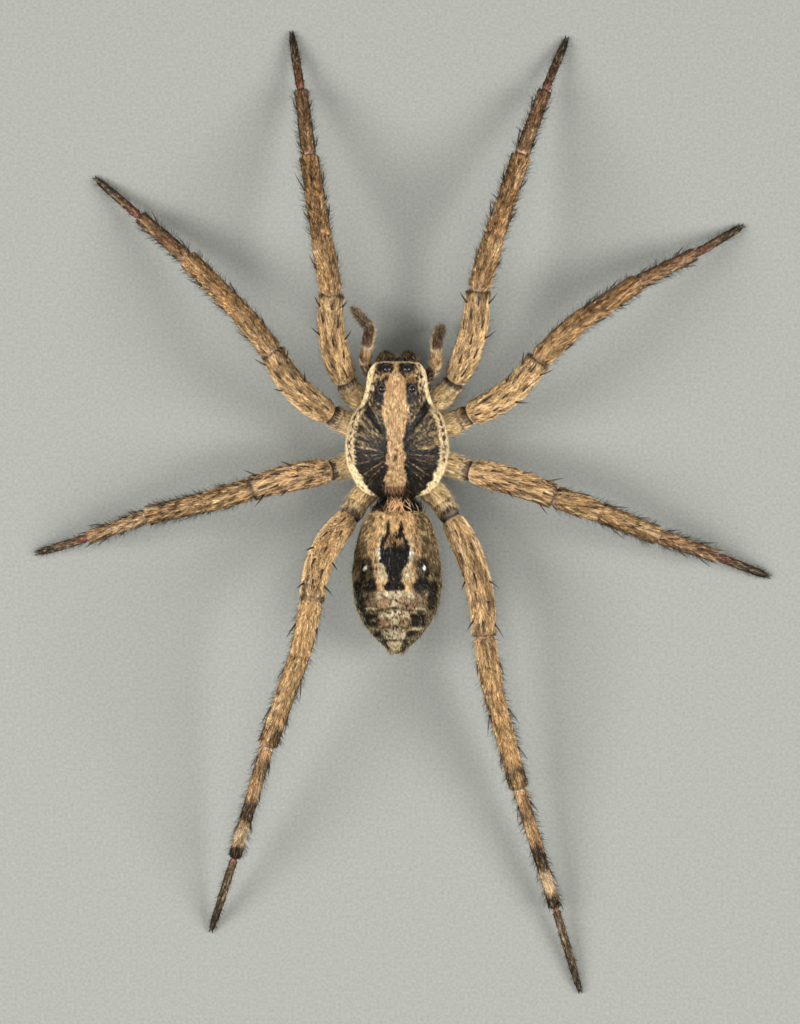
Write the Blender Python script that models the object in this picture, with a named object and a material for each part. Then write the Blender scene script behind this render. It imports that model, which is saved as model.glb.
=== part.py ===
"""A wolf spider at its real size, standing still with its legs spread.

The front of the body faces -Y, +Z is up, and +X is the spider's own left.
The origin is on the floor, in the middle of the stance. Sizes are in metres.
Each leg is a chain of nodes that are cut in the same plane at a joint, so that
they meet face to face with one small gap.
"""
import math
import random
from collections import namedtuple

import bmesh
import bpy
from mathutils import Matrix, Vector

MM = 0.001

# Fits and floor
GAP = 0.3 * MM
EYE_GAP = 0.1 * MM
FLOOR_Z = 0.0

# Cephalothorax: stations run from the front edge of the carapace, 0, to its rear edge, 1
BODY_X = 0.2 * MM
CARAPACE_FRONT_Y = -10.2 * MM
CARAPACE_LENGTH = 9.4 * MM
CARAPACE_HALF_WIDTH = [
    (0.0, 1.34), (0.035, 1.76), (0.09, 2.03), (0.2, 2.19), (0.3, 2.46), (0.4, 3.12),
    (0.5, 3.42), (0.62, 3.56), (0.75, 3.42), (0.86, 2.98), (0.94, 2.4), (1.0, 1.5)]
CARAPACE_TOP_Z = [
    (0.0, 5.75), (0.025, 6.15), (0.07, 6.55), (0.13, 6.82), (0.24, 6.98), (0.5, 6.9),
    (0.66, 6.7), (0.8, 6.1), (0.9, 5.35), (1.0, 4.65)]
CARAPACE_RIM_Z = [(0.0, 4.95), (0.12, 4.7), (0.3, 4.3), (0.45, 4.15), (0.9, 4.15), (1.0, 4.25)]
HEAD_SQUARENESS = 2.9
THORAX_SQUARENESS = 2.1
HEAD_END = 0.38

# Breast plate and the core under the carapace, between the coxae
CORE_FRONT = 0.19
CORE_REAR = 0.93
CORE_HALF_WIDTH = [
    (0.15, 0.62), (0.27, 1.1), (0.4, 1.5), (0.55, 1.68), (0.7, 1.62), (0.82, 1.25), (0.95, 0.6)]
STERNUM_Z = 1.9 * MM
CORE_WALL = 0.03

# Pads of the mouth under the front of the core: across, Y, and half sizes, in millimetres
MOUTH_PADS = [
    (0.5, -7.85, (0.38, 0.62, 0.4)), (-0.5, -7.85, (0.38, 0.62, 0.4)), (0.0, -7.3, (0.3, 0.42, 0.32))]
MOUTH_PAD_Z = 2.0 * MM

# Fovea: the short slit along the top of the carapace
FOVEA_STATION = 0.71
FOVEA_HALF_SIZES = (0.13, 0.62, 0.3)

# Eyes: distance from the midline, station along the carapace or height, and radius
EyeSize = namedtuple("EyeSize", "name across along radius")
UPPER_EYES = [
    EyeSize("eye_posterior_median", 0.68 * MM, 0.062, 0.33 * MM),
    EyeSize("eye_posterior_lateral", 1.02 * MM, 0.21, 0.28 * MM)]
FACE_EYES = [
    EyeSize("eye_anterior_median", 0.29 * MM, 5.36 * MM, 0.19 * MM),
    EyeSize("eye_anterior_lateral", 0.83 * MM, 5.3 * MM, 0.165 * MM)]
EYE_SUNK = 0.3

# Chelicerae and fangs
CHELICERA_X = 0.83 * MM
CHELICERA_Y = -9.85 * MM
CHELICERA_TOP_Z = 4.6 * MM
CHELICERA_BOTTOM_Z = 1.75 * MM
CHELICERA_HALF_WIDTH = 0.68 * MM
CHELICERA_HALF_DEPTH = 0.86 * MM
CHELICERA_GIRTH = [
    (0.0, 0.8), (0.12, 0.95), (0.35, 1.0), (0.65, 0.97), (0.86, 0.85), (0.96, 0.64), (1.0, 0.42)]
FANG_RADIUS = 0.26 * MM
FANG_LENGTH = 1.3 * MM
FANG_TURN = 80

# Abdomen, pedicel and spinnerets: stations run from front, 0, to rear, 1
ABDOMEN_FRONT_Y = -0.42 * MM
ABDOMEN_LENGTH = 10.05 * MM
ABDOMEN_HALF_WIDTH = [
    (0.0, 0.9), (0.03, 1.75), (0.1, 2.3), (0.25, 2.77), (0.4, 3.0), (0.52, 3.05),
    (0.66, 2.9), (0.78, 2.4), (0.88, 1.65), (0.95, 0.95), (1.0, 0.35)]
ABDOMEN_TOP_Z = [
    (0.0, 5.2), (0.03, 5.85), (0.1, 6.4), (0.25, 6.85), (0.45, 6.95), (0.65, 6.55),
    (0.8, 5.75), (0.9, 4.95), (1.0, 3.9)]
ABDOMEN_BOTTOM_Z = [
    (0.0, 4.0), (0.03, 3.2), (0.1, 2.3), (0.25, 1.55), (0.45, 1.3), (0.65, 1.45),
    (0.8, 1.95), (0.9, 2.5), (1.0, 3.25)]
PEDICEL_RADIUS = 0.5 * MM
PEDICEL_Z = 3.35 * MM
SPINNERET_ROOT = Vector((0.0, 8.0, 2.55)) * MM
SPINNERET_TUBES = [(0.36, -0.3, 1.1, 0.27), (0.27, 0.2, 1.35, 0.26)]

# Legs: sizes of one pair, in millimetres
LegPair = namedtuple("LegPair", "core_station coxa_tip base lengths bow")
PAIRS = {
    1: LegPair(0.37, (3.2, -8.0), (3.68, -8.84), (6.85, 3.79, 6.38, 5.28, 4.03), 0.4),
    2: LegPair(0.51, (3.75, -6.05), (4.7, -6.6), (6.56, 3.69, 5.53, 4.85, 4.06), 0.5),
    3: LegPair(0.655, (3.75, -3.05), (4.76, -2.75), (6.12, 3.22, 4.65, 4.6, 3.9), -0.15),
    4: LegPair(0.81, (2.75, -0.85), (3.45, 0.45), (8.4, 3.75, 7.12, 8.76, 5.85), -0.6)}
LEG_BASE_Z = 3.0 * MM
LEG_TIP_Z = 0.19 * MM
FEMUR_RISE = 0.3 * MM

# Pose: headings turn from straight ahead, 0, outwards to straight back, 180, and pitches
# are how far a segment rises, both in degrees. The tarsus is aimed at the floor.
POSE = {
    "leg1_left": ((9, 10, 9, 7, 9.5), (33, -2, -26, -27)),
    "leg1_right": ((14.5, 16.5, 18.5, 20, 22.5), (26.5, 1.5, -23, -24)),
    "leg2_left": ((43, 39, 44.5, 48.5, 49), (32, -15, -23, -24)),
    "leg2_right": ((52, 46.5, 56, 63, 59.5), (28.5, 3, -28, -22)),
    "leg3_left": ((103, 106, 103, 110, 106.5), (30, -15.5, -25, -17.5)),
    "leg3_right": ((107, 108.5, 112, 109, 111), (19, -8, -22.5, -18)),
    "leg4_left": ((156, 167.5, 160, 163.5, 162), (45.5, 3, -24.5, -22.5)),
    "leg4_right": ((164.5, 170.5, 165, 163, 163.5), (14, -8.5, -14, -11))}

# Girth of a leg: station along each segment and radius in millimetres
FEMUR_RADIUS = [(0.0, 0.72), (0.1, 0.88), (0.3, 0.97), (0.6, 0.95), (0.85, 0.88), (1.0, 0.78)]
PATELLA_RADIUS = [(0.0, 0.76), (0.2, 0.84), (0.6, 0.85), (0.88, 0.8), (1.0, 0.72)]
TIBIA_RADIUS = [(0.0, 0.68), (0.12, 0.76), (0.4, 0.75), (0.75, 0.7), (0.92, 0.66), (1.0, 0.58)]
METATARSUS_RADIUS = [(0.0, 0.54), (0.1, 0.59), (0.4, 0.55), (0.8, 0.5), (0.95, 0.46)]
TARSUS_RADIUS = [(0.04, 0.34), (0.2, 0.35), (0.6, 0.33), (0.85, 0.29), (1.0, 0.2)]
COXA_RADIUS = [(0.0, 0.55), (0.35, 0.74), (0.7, 0.9), (1.0, 0.86)]
TROCHANTER_RADIUS = [(0.25, 0.76), (0.6, 0.8), (1.0, 0.72)]
COXA_FLATTENING = 0.78
HIND_FOOT_SLIMNESS = 0.92
LEG_SIDES = 10
CLAW_LENGTH = 0.55 * MM
CLAW_RADIUS = 0.13 * MM
CLAW_SPLAY = 16

# Spines: station along a segment, and angle round it in degrees, 90 on top
SPINE_PLACES = {
    "femur": [(0.3, 62), (0.3, 118), (0.52, 90), (0.56, 35), (0.56, 145), (0.78, 62), (0.78, 118)],
    "patella": [(0.5, 12), (0.5, 168)],
    "tibia": [(0.2, 18), (0.2, 162), (0.42, -52), (0.42, -128), (0.6, 18), (0.6, 162), (0.76, -52),
              (0.76, -128)],
    "foot": [(0.12, 18), (0.12, 162), (0.4, -45), (0.4, -135), (0.68, 18), (0.68, 162)]}
SPINE_LENGTH = {"femur": 1.0 * MM, "patella": 0.9 * MM, "tibia": 1.05 * MM, "foot": 0.95 * MM}
SPINE_LEAN = {"femur": 36, "patella": 38, "tibia": 40, "foot": 42}
SPINE_RADIUS = 0.24 * MM
SPINE_TIP_RADIUS = 0.03 * MM
SPINE_ROOT_DEPTH = 0.5
SPINE_VARIATION = 0.12
SPINE_SEED = 7

# Palps: where each joint lies, in millimetres, and how thick they are
PALP_JOINTS = {
    "palp_left": ((1.5, -8.35, 2.45), (2.35, -9.95, 4.0), (2.3, -10.85, 4.35), (1.98, -12.4, 3.85),
                  (3.2, -13.75, 2.0)),
    "palp_right": ((-1.15, -8.35, 2.45), (-2.4, -9.65, 4.0), (-2.45, -10.65, 4.4), (-2.5, -11.9, 3.3),
                   (-2.85, -12.5, 1.1))}
PALP_RADIUS = [(0.0, 0.36), (0.1, 0.4), (0.27, 0.44), (0.36, 0.4), (0.48, 0.44), (0.58, 0.39), (0.72, 0.38),
               (0.82, 0.34), (0.95, 0.24), (1.0, 0.14)]
PALP_SIDES = 8

# Colours, roughness
COLOURS = {
    "carapace": (0.09, 0.075, 0.05, 0.6),
    "abdomen": (0.14, 0.1, 0.05, 0.7),
    "coxa": (0.55, 0.4, 0.2, 0.6),
    "femur": (0.5, 0.33, 0.16, 0.6),
    "patella": (0.33, 0.22, 0.12, 0.6),
    "tibia": (0.3, 0.2, 0.11, 0.6),
    "foot": (0.17, 0.09, 0.06, 0.55),
    "chelicera": (0.06, 0.035, 0.02, 0.4),
    "fang": (0.02, 0.01, 0.008, 0.2),
    "palp": (0.3, 0.2, 0.11, 0.6),
    "eye": (0.005, 0.005, 0.006, 0.05),
    "pedicel": (0.2, 0.13, 0.08, 0.6),
    "spinneret": (0.2, 0.13, 0.07, 0.6)}


def clear_scene():
    """Removes the objects that Blender starts with."""
    for item in list(bpy.data.objects):
        bpy.data.objects.remove(item, do_unlink=True)


def make_materials():
    """Makes one Principled material for each kind of piece."""
    made = {}
    for name, (red, green, blue, roughness) in COLOURS.items():
        material = bpy.data.materials.new(name)
        material.use_nodes = True
        shader = material.node_tree.nodes["Principled BSDF"]
        shader.inputs["Base Color"].default_value = (red, green, blue, 1.0)
        shader.inputs["Roughness"].default_value = roughness
        made[name] = material
    return made


def along(stations, place):
    """Reads a smooth curve through (station, millimetres) points, in metres."""
    places = [station for station, _ in stations]
    sizes = [size for _, size in stations]
    place = min(max(place, places[0]), places[-1])
    index = next(i for i in range(len(places) - 1) if place <= places[i + 1])

    def slope(i):
        if i == 0 or i == len(places) - 1:
            j = min(i, len(places) - 2)
            return (sizes[j + 1] - sizes[j]) / (places[j + 1] - places[j])
        before = (sizes[i] - sizes[i - 1]) / (places[i] - places[i - 1])
        after = (sizes[i + 1] - sizes[i]) / (places[i + 1] - places[i])
        if before * after <= 0:
            return 0.0
        return 2 * before * after / (before + after)

    width = places[index + 1] - places[index]
    t = (place - places[index]) / width
    start, end = sizes[index], sizes[index + 1]
    lead, trail = slope(index) * width, slope(index + 1) * width
    size = (start * (2 * t ** 3 - 3 * t ** 2 + 1) + end * (3 * t ** 2 - 2 * t ** 3)
            + lead * (t ** 3 - 2 * t ** 2 + t) + trail * (t ** 3 - t ** 2))
    return size * MM


def blend(start, end, t):
    """Goes smoothly from one value to another as t goes from 0 to 1."""
    t = min(max(t, 0.0), 1.0)
    return start + (end - start) * t * t * (3 - 2 * t)


def add_object(name, bm, kind, materials):
    """Turns a bmesh into a smooth-shaded object with its material."""
    bmesh.ops.recalc_face_normals(bm, faces=bm.faces)
    mesh = bpy.data.meshes.new(name)
    bm.to_mesh(mesh)
    bm.free()
    mesh.materials.append(materials[kind])
    mesh.shade_smooth()
    made = bpy.data.objects.new(name, mesh)
    bpy.context.scene.collection.objects.link(made)
    return made


def bridge_rings(rings, pointed=False):
    """Bridges closed rings of points one after another, and caps or points the ends."""
    bm = bmesh.new()
    loops = []
    for ring in rings:
        corners = [bm.verts.new(point) for point in ring]
        loops.append([bm.edges.new((corners[i - 1], corners[i])) for i in range(len(corners))])
    for near, far in zip(loops, loops[1:]):
        bmesh.ops.bridge_loops(bm, edges=near + far)
    for end in (loops[0], loops[-1]):
        bmesh.ops.edgeloop_fill(bm, edges=end)
    if pointed:
        corners = list({corner for edge in loops[-1] for corner in edge.verts})
        point = sum((corner.co for corner in corners), Vector()) / len(corners)
        bmesh.ops.pointmerge(bm, verts=corners, merge_co=point)
    return bm


def round_ring(centre, normal, radius, sides, flattening=1.0):
    """Gives the corners of a ring round a limb, level at its sides."""
    normal = normal.normalized()
    side = normal.cross(Vector((0, 0, 1))).normalized()
    up = side.cross(normal)
    ring = []
    for i in range(sides):
        angle = 2 * math.pi * (i + 0.5) / sides
        ring.append(centre + side * (math.cos(angle) * radius * flattening) + up * (math.sin(angle) * radius))
    return ring


def grow_spines(target, kind, start, end, bow, radii, slim, draw, materials):
    """Sets tapered spines along one segment, leaning towards its end, and fuses them with it."""
    spines = bpy.data.collections.new("spines")
    for station, angle in SPINE_PLACES[kind]:
        station += draw.uniform(-0.015, 0.015)
        turn = math.radians(angle + draw.uniform(-6, 6))
        lean = math.radians(SPINE_LEAN[kind])
        length = SPINE_LENGTH[kind] * (1 + draw.uniform(-1, 1) * SPINE_VARIATION)
        heading = curve_heading(start, end, bow, station)
        side = heading.cross(Vector((0, 0, 1))).normalized()
        outward = side * math.cos(turn) + side.cross(heading) * math.sin(turn)
        girth = along(radii, station) * slim
        sunk = girth * (1 - SPINE_ROOT_DEPTH)
        pointing = heading * math.cos(lean) + outward * math.sin(lean)
        skin = curve_point(start, end, bow, station) + outward * girth
        root = skin - pointing * (sunk / math.sin(lean))
        tip = skin + pointing * length
        middle = skin.lerp(tip, 0.35) + outward * (0.04 * MM)
        rings = [
            round_ring(root, pointing, SPINE_RADIUS, 4),
            round_ring(middle, pointing, SPINE_RADIUS * 0.68, 4),
            round_ring(tip, pointing, SPINE_TIP_RADIUS, 4)]
        spine = add_object("spine", bridge_rings(rings, pointed=True), kind, materials)
        bpy.context.scene.collection.objects.unlink(spine)
        spines.objects.link(spine)
    step = target.modifiers.new("spines", "BOOLEAN")
    step.operation = "UNION"
    step.operand_type = "COLLECTION"
    step.collection = spines
    apply_modifiers(target)
    for spine in list(spines.objects):
        bpy.data.objects.remove(spine, do_unlink=True)
    bpy.data.collections.remove(spines)


def boolean(target, tool, operation):
    """Applies one Boolean between two objects and removes the second."""
    step = target.modifiers.new(operation.lower(), "BOOLEAN")
    step.operation = operation
    step.object = tool
    apply_modifiers(target)
    bpy.data.objects.remove(tool, do_unlink=True)


def apply_modifiers(target):
    """Replaces a mesh by its evaluated shape, and keeps its largest closed surface."""
    graph = bpy.context.evaluated_depsgraph_get()
    shape = bpy.data.meshes.new_from_object(target.evaluated_get(graph))
    target.modifiers.clear()
    target.data = shape
    keep_largest(target)


def keep_largest(target):
    """Drops everything but the closed surface with the most faces."""
    bm = bmesh.new()
    bm.from_mesh(target.data)
    left = set(bm.faces)
    groups = []
    while left:
        seed = left.pop()
        group = {seed}
        waiting = [seed]
        while waiting:
            face = waiting.pop()
            near = {other for edge in face.edges for other in edge.link_faces} & left
            left -= near
            group |= near
            waiting.extend(near)
        groups.append(group)
    groups.sort(key=len)
    scraps = [face for group in groups[:-1] for face in group]
    bmesh.ops.delete(bm, geom=scraps, context="FACES")
    bm.to_mesh(target.data)
    bm.free()


def carapace_y(station):
    """Gives the Y of a station along the carapace."""
    return CARAPACE_FRONT_Y + CARAPACE_LENGTH * station


def section_shape(station):
    """Gives how square the carapace is across at a station."""
    return blend(HEAD_SQUARENESS, THORAX_SQUARENESS, station / HEAD_END)


def dome_z(across, station):
    """Gives the height of the carapace's upper surface."""
    power = section_shape(station)
    width = along(CARAPACE_HALF_WIDTH, station)
    rim = along(CARAPACE_RIM_Z, station)
    rise = along(CARAPACE_TOP_Z, station) - rim
    inside = max(0.0, 1 - abs(across / width) ** power)
    return rim + rise * inside ** (1 / power)


def core_depth(station):
    """Gives how far down the core reaches under the carapace, 0 at its ends and 1 between."""
    start = (station - CORE_FRONT) / CORE_WALL
    end = (CORE_REAR - station) / CORE_WALL
    return blend(0, 1, min(start, end))


def cephalothorax_ring(station, grow=0.0):
    """Gives one section: the dome, the rim, and the core between the coxae."""
    power = section_shape(station)
    width = along(CARAPACE_HALF_WIDTH, station)
    rim = along(CARAPACE_RIM_Z, station)
    rise = along(CARAPACE_TOP_Z, station) - rim
    core = min(along(CORE_HALF_WIDTH, station), width * 0.75) + grow
    bottom = blend(rim, STERNUM_Z - grow, core_depth(station))
    dome_steps = 7
    half = []
    for i in range(dome_steps + 1):
        angle = math.pi / 2 * (1 - i / dome_steps)
        half.append((width * math.cos(angle) ** (2 / power), rim + rise * math.sin(angle) ** (2 / power)))
    half.append((core, rim + (bottom - rim) * 0.04))
    half.append((core, rim + (bottom - rim) * 0.6))
    half.append((core * 0.72, rim + (bottom - rim) * 0.95))
    half.append((0.0, bottom))
    right = [(-x, z) for x, z in half[1:-1]]
    y = carapace_y(station)
    return [Vector((BODY_X + x, y, z)) for x, z in half + right[::-1]]


def core_cutter(materials):
    """Makes the core, larger by the gap, for cutting the roots that meet it."""
    stations = [CORE_FRONT - 0.03 + (CORE_REAR - CORE_FRONT + 0.06) * i / 12 for i in range(13)]
    rings = []
    for station in stations:
        half_width = along(CORE_HALF_WIDTH, station) + GAP
        y = carapace_y(station)
        ring = []
        for x, z in ((1, 4.0), (1, 2.6), (0.72, 1.6), (-0.72, 1.6), (-1, 2.6), (-1, 4.0)):
            ring.append(Vector((BODY_X + x * half_width, y, z * MM)))
        rings.append(ring)
    return add_object("cutter", bridge_rings(rings), "pedicel", materials)


def make_cephalothorax(materials):
    """Makes the carapace, its core and breast plate, with a socket for each eye."""
    stations = [0, 0.025, 0.07, 0.13, CORE_FRONT, CORE_FRONT + CORE_WALL, 0.3, 0.37, 0.44, 0.52, 0.6, 0.68,
                0.76, 0.83, CORE_REAR - CORE_WALL, CORE_REAR, 0.965, 1.0]
    body = add_object("cephalothorax", bridge_rings([cephalothorax_ring(s) for s in stations]),
                      "carapace", materials)
    for across, y, half_sizes in MOUTH_PADS:
        centre = Vector((BODY_X + across * MM, y * MM, MOUTH_PAD_Z))
        boolean(body, stretched_ball(centre, half_sizes, materials), "UNION")
    fovea = Vector((BODY_X, carapace_y(FOVEA_STATION), dome_z(0, FOVEA_STATION)))
    boolean(body, stretched_ball(fovea, FOVEA_HALF_SIZES, materials), "DIFFERENCE")
    for name, centre, radius in eye_places():
        boolean(body, ball("socket", centre, radius + EYE_GAP, "eye", materials), "DIFFERENCE")
    return body


def ball(name, centre, radius, kind, materials):
    """Makes a small faceted ball."""
    bm = bmesh.new()
    bmesh.ops.create_icosphere(bm, subdivisions=2, radius=radius, matrix=Matrix.Translation(centre))
    return add_object(name, bm, kind, materials)


def stretched_ball(centre, half_sizes, materials):
    """Makes a faceted ball with three half sizes in millimetres."""
    made = ball("ball", Vector(), 1.0, "carapace", materials)
    stretch = Matrix.Diagonal(Vector(half_sizes) * MM).to_4x4()
    made.data.transform(Matrix.Translation(centre) @ stretch)
    return made


def eye_places():
    """Lists each eye's name, centre and radius, sunk in the surface that it looks out of."""
    places = []
    for side, sign in (("left", 1), ("right", -1)):
        for eye in UPPER_EYES:
            step = 0.01
            height = dome_z(eye.across, eye.along)
            slope_x = (dome_z(eye.across + 0.1 * MM, eye.along) - height) / (0.1 * MM)
            slope_y = (dome_z(eye.across, eye.along + step) - height) / (CARAPACE_LENGTH * step)
            facing = Vector((-slope_x * sign, -slope_y, 1)).normalized()
            point = Vector((BODY_X + eye.across * sign, carapace_y(eye.along), height))
            places.append((f"{eye.name}_{side}", point - facing * eye.radius * EYE_SUNK, eye.radius))
        for eye in FACE_EYES:
            point = Vector((BODY_X + eye.across * sign, CARAPACE_FRONT_Y + eye.radius * EYE_SUNK, eye.along))
            places.append((f"{eye.name}_{side}", point, eye.radius))
    return places


def make_eyes(materials):
    """Sets a glossy ball in each socket."""
    for name, centre, radius in eye_places():
        ball(name, centre, radius, "eye", materials)


def make_chelicera(side, sign, materials):
    """Makes one stout jaw, which hangs from the front of the head."""
    rings = []
    for station, girth in CHELICERA_GIRTH:
        z = CHELICERA_TOP_Z + (CHELICERA_BOTTOM_Z - CHELICERA_TOP_Z) * station
        spread = (1 - girth) * 0.4 * CHELICERA_HALF_WIDTH
        centre = Vector((BODY_X + sign * (CHELICERA_X - spread), CHELICERA_Y + 0.3 * MM * (station - 0.3), z))
        ring = []
        for i in range(12):
            angle = 2 * math.pi * i / 12
            ring.append(centre + Vector((math.cos(angle) * CHELICERA_HALF_WIDTH * girth,
                                         math.sin(angle) * CHELICERA_HALF_DEPTH * girth, 0)))
        rings.append(ring)
    return add_object(f"chelicera_{side}", bridge_rings(rings), "chelicera", materials)


def make_fang(side, sign, materials):
    """Makes one fang, which leaves its chelicera downwards and folds inwards."""
    start = Vector((BODY_X + sign * CHELICERA_X, CHELICERA_Y + 0.1 * MM, CHELICERA_BOTTOM_Z - GAP))
    turning = FANG_LENGTH / math.radians(FANG_TURN)
    rings = []
    for i in range(5):
        t = i / 4
        turn = math.radians(FANG_TURN) * t
        inwards = turning * (1 - math.cos(turn))
        centre = start + Vector((-sign * inwards, 0, -turning * math.sin(turn)))
        heading = Vector((-sign * math.sin(turn), 0.01, -math.cos(turn)))
        rings.append(round_ring(centre, heading, FANG_RADIUS * (1 - 0.85 * t), 7))
    return add_object(f"fang_{side}", bridge_rings(rings), "fang", materials)


def abdomen_y(station):
    """Gives the Y of a station along the abdomen."""
    return ABDOMEN_FRONT_Y + ABDOMEN_LENGTH * station


def abdomen_ring(station, grow=0.0):
    """Gives one egg-shaped section, wider above than below."""
    width = along(ABDOMEN_HALF_WIDTH, station) + grow
    top = along(ABDOMEN_TOP_Z, station) + grow
    bottom = along(ABDOMEN_BOTTOM_Z, station) - grow
    middle = top * 0.45 + bottom * 0.55
    ring = []
    sides = 20
    for i in range(sides):
        angle = 2 * math.pi * i / sides
        reach = top - middle if math.sin(angle) > 0 else middle - bottom
        ring.append(Vector((BODY_X + math.cos(angle) * width, abdomen_y(station),
                            middle + math.sin(angle) * reach)))
    return ring


def make_abdomen(materials, name="abdomen", grow=0.0):
    """Makes the egg-shaped hind body."""
    stations = [0, 0.03, 0.07, 0.13, 0.2, 0.29, 0.38, 0.47, 0.56, 0.65, 0.74, 0.82, 0.89, 0.95, 1]
    return add_object(name, bridge_rings([abdomen_ring(s, grow) for s in stations]), "abdomen", materials)


def make_pedicel(materials):
    """Makes the narrow stalk between the core and the hind body."""
    start = carapace_y(CORE_REAR) + GAP
    end = ABDOMEN_FRONT_Y + 0.4 * MM
    rings = []
    for i, girth in enumerate((1.0, 0.8, 0.85, 1.0)):
        y = start + (end - start) * i / 3
        centre = Vector((BODY_X, y, PEDICEL_Z))
        rings.append(round_ring(centre, Vector((0, 1, 0)), PEDICEL_RADIUS * girth, 10))
    stalk = add_object("pedicel", bridge_rings(rings), "pedicel", materials)
    boolean(stalk, make_abdomen(materials, "cutter", GAP), "DIFFERENCE")
    return stalk


def make_spinnerets(materials):
    """Makes the cluster of spinning tubes under the tip of the hind body."""
    middle = Vector((BODY_X, 0, 0)) + SPINNERET_ROOT
    cluster = add_object("spinnerets", bridge_rings([
        round_ring(middle, Vector((0, 1, -0.1)), 0.8 * MM, 10),
        round_ring(middle + Vector((0, 1.1, -0.1)) * MM, Vector((0, 1, -0.1)), 0.62 * MM, 10)]),
        "spinneret", materials)
    for sign in (1, -1):
        for across, height, length, radius in SPINNERET_TUBES:
            root = middle + Vector((sign * across, 0.1, height)) * MM
            tip = root + Vector((sign * 0.12, length, height * 0.3)) * MM
            heading = tip - root
            tube = add_object("tube", bridge_rings([
                round_ring(root, heading, radius * MM, 7),
                round_ring(root.lerp(tip, 0.75), heading, radius * 0.9 * MM, 7),
                round_ring(tip, heading, radius * 0.4 * MM, 7)]), "spinneret", materials)
            boolean(cluster, tube, "UNION")
    boolean(cluster, make_abdomen(materials, "cutter", GAP), "DIFFERENCE")
    return cluster


def unit(heading, pitch, sign):
    """Turns a heading and a pitch in degrees into a direction."""
    turn, rise = math.radians(heading), math.radians(pitch)
    return Vector((sign * math.sin(turn) * math.cos(rise), -math.cos(turn) * math.cos(rise), math.sin(rise)))


def leg_joints(pair, headings, pitches, sign):
    """Works out where the joints of one leg lie, from its base to its tip on the floor."""
    point = Vector((sign * pair.base[0] * MM, pair.base[1] * MM, LEG_BASE_Z))
    joints = [point]
    for length, heading, pitch in zip(pair.lengths, headings, pitches):
        point = point + unit(heading, pitch, sign) * (length * MM)
        joints.append(point)
    drop = math.degrees(math.asin((LEG_TIP_Z - point.z) / (pair.lengths[-1] * MM)))
    joints.append(point + unit(headings[-1], drop, sign) * (pair.lengths[-1] * MM))
    return joints


def curve_point(start, end, bow, t):
    """Gives a point on a gently bowed segment."""
    return start.lerp(end, t) + bow * (4 * t * (1 - t))


def curve_heading(start, end, bow, t):
    """Gives the direction of a gently bowed segment."""
    return (end - start + bow * (4 - 8 * t)).normalized()


def segment_rings(start, end, bow, start_cut, end_cut, radii, sides, slim=1.0, flattening=1.0):
    """Gives the rings of one segment, turned at its ends into the planes of its joints."""
    rings = []
    for station, _ in radii:
        heading = curve_heading(start, end, bow, station)
        cut = start_cut if station < 0.5 else end_cut
        weight = abs(2 * station - 1) ** 3
        normal = heading.lerp(cut, weight)
        ring = round_ring(curve_point(start, end, bow, station), normal, along(radii, station) * slim, sides,
                          flattening)
        rings.append(ring)
    return rings


def mitre(before, after):
    """Gives the plane that halves the angle of a joint."""
    return (before + after).normalized()


def make_leg(name, side, sign, pair, headings, pitches, cutter_mesh, draw, materials):
    """Makes the five nodes of one leg: coxa, femur, patella, tibia and foot."""
    joints = leg_joints(pair, headings, pitches, sign)
    turn = math.radians(headings[0])
    swing = Vector((sign * math.cos(turn), math.sin(turn), 0)) * (pair.bow * MM)
    bows = [swing + Vector((0, 0, FEMUR_RISE))] + [Vector()] * 4
    coxa_tip = Vector((sign * pair.coxa_tip[0] * MM, pair.coxa_tip[1] * MM, LEG_BASE_Z))
    runs = [(coxa_tip, joints[0], Vector())]
    runs += [(joints[i], joints[i + 1], bows[i]) for i in range(5)]
    cuts = [mitre(curve_heading(*near, 1), curve_heading(*far, 0)) for near, far in zip(runs, runs[1:])]

    core = along(CORE_HALF_WIDTH, pair.core_station)
    root = Vector((BODY_X + sign * core * 0.8, carapace_y(pair.core_station), LEG_BASE_Z - 0.1 * MM))
    coxa_heading = (coxa_tip - root).normalized()
    elbow = mitre(coxa_heading, curve_heading(*runs[0], 0))
    end = joints[0] - cuts[0] * (GAP / 2)
    rings = segment_rings(root, coxa_tip, Vector(), coxa_heading, elbow, COXA_RADIUS, LEG_SIDES,
                          flattening=COXA_FLATTENING)
    rings += segment_rings(coxa_tip, end, Vector(), elbow, cuts[0], TROCHANTER_RADIUS, LEG_SIDES)
    coxa = add_object(f"{name}_coxa_{side}", bridge_rings(rings), "coxa", materials)
    boolean(coxa, bpy.data.objects.new("cutter", cutter_mesh), "DIFFERENCE")

    for i, (kind, radii) in enumerate((("femur", FEMUR_RADIUS), ("patella", PATELLA_RADIUS),
                                       ("tibia", TIBIA_RADIUS))):
        start = joints[i] + cuts[i] * (GAP / 2)
        end = joints[i + 1] - cuts[i + 1] * (GAP / 2)
        rings = segment_rings(start, end, bows[i], cuts[i], cuts[i + 1], radii, LEG_SIDES)
        segment = add_object(f"{name}_{kind}_{side}", bridge_rings(rings), kind, materials)
        grow_spines(segment, kind, start, end, bows[i], radii, 1.0, draw, materials)

    make_foot(f"{name}_foot_{side}", name, joints, cuts, draw, materials)


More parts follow.
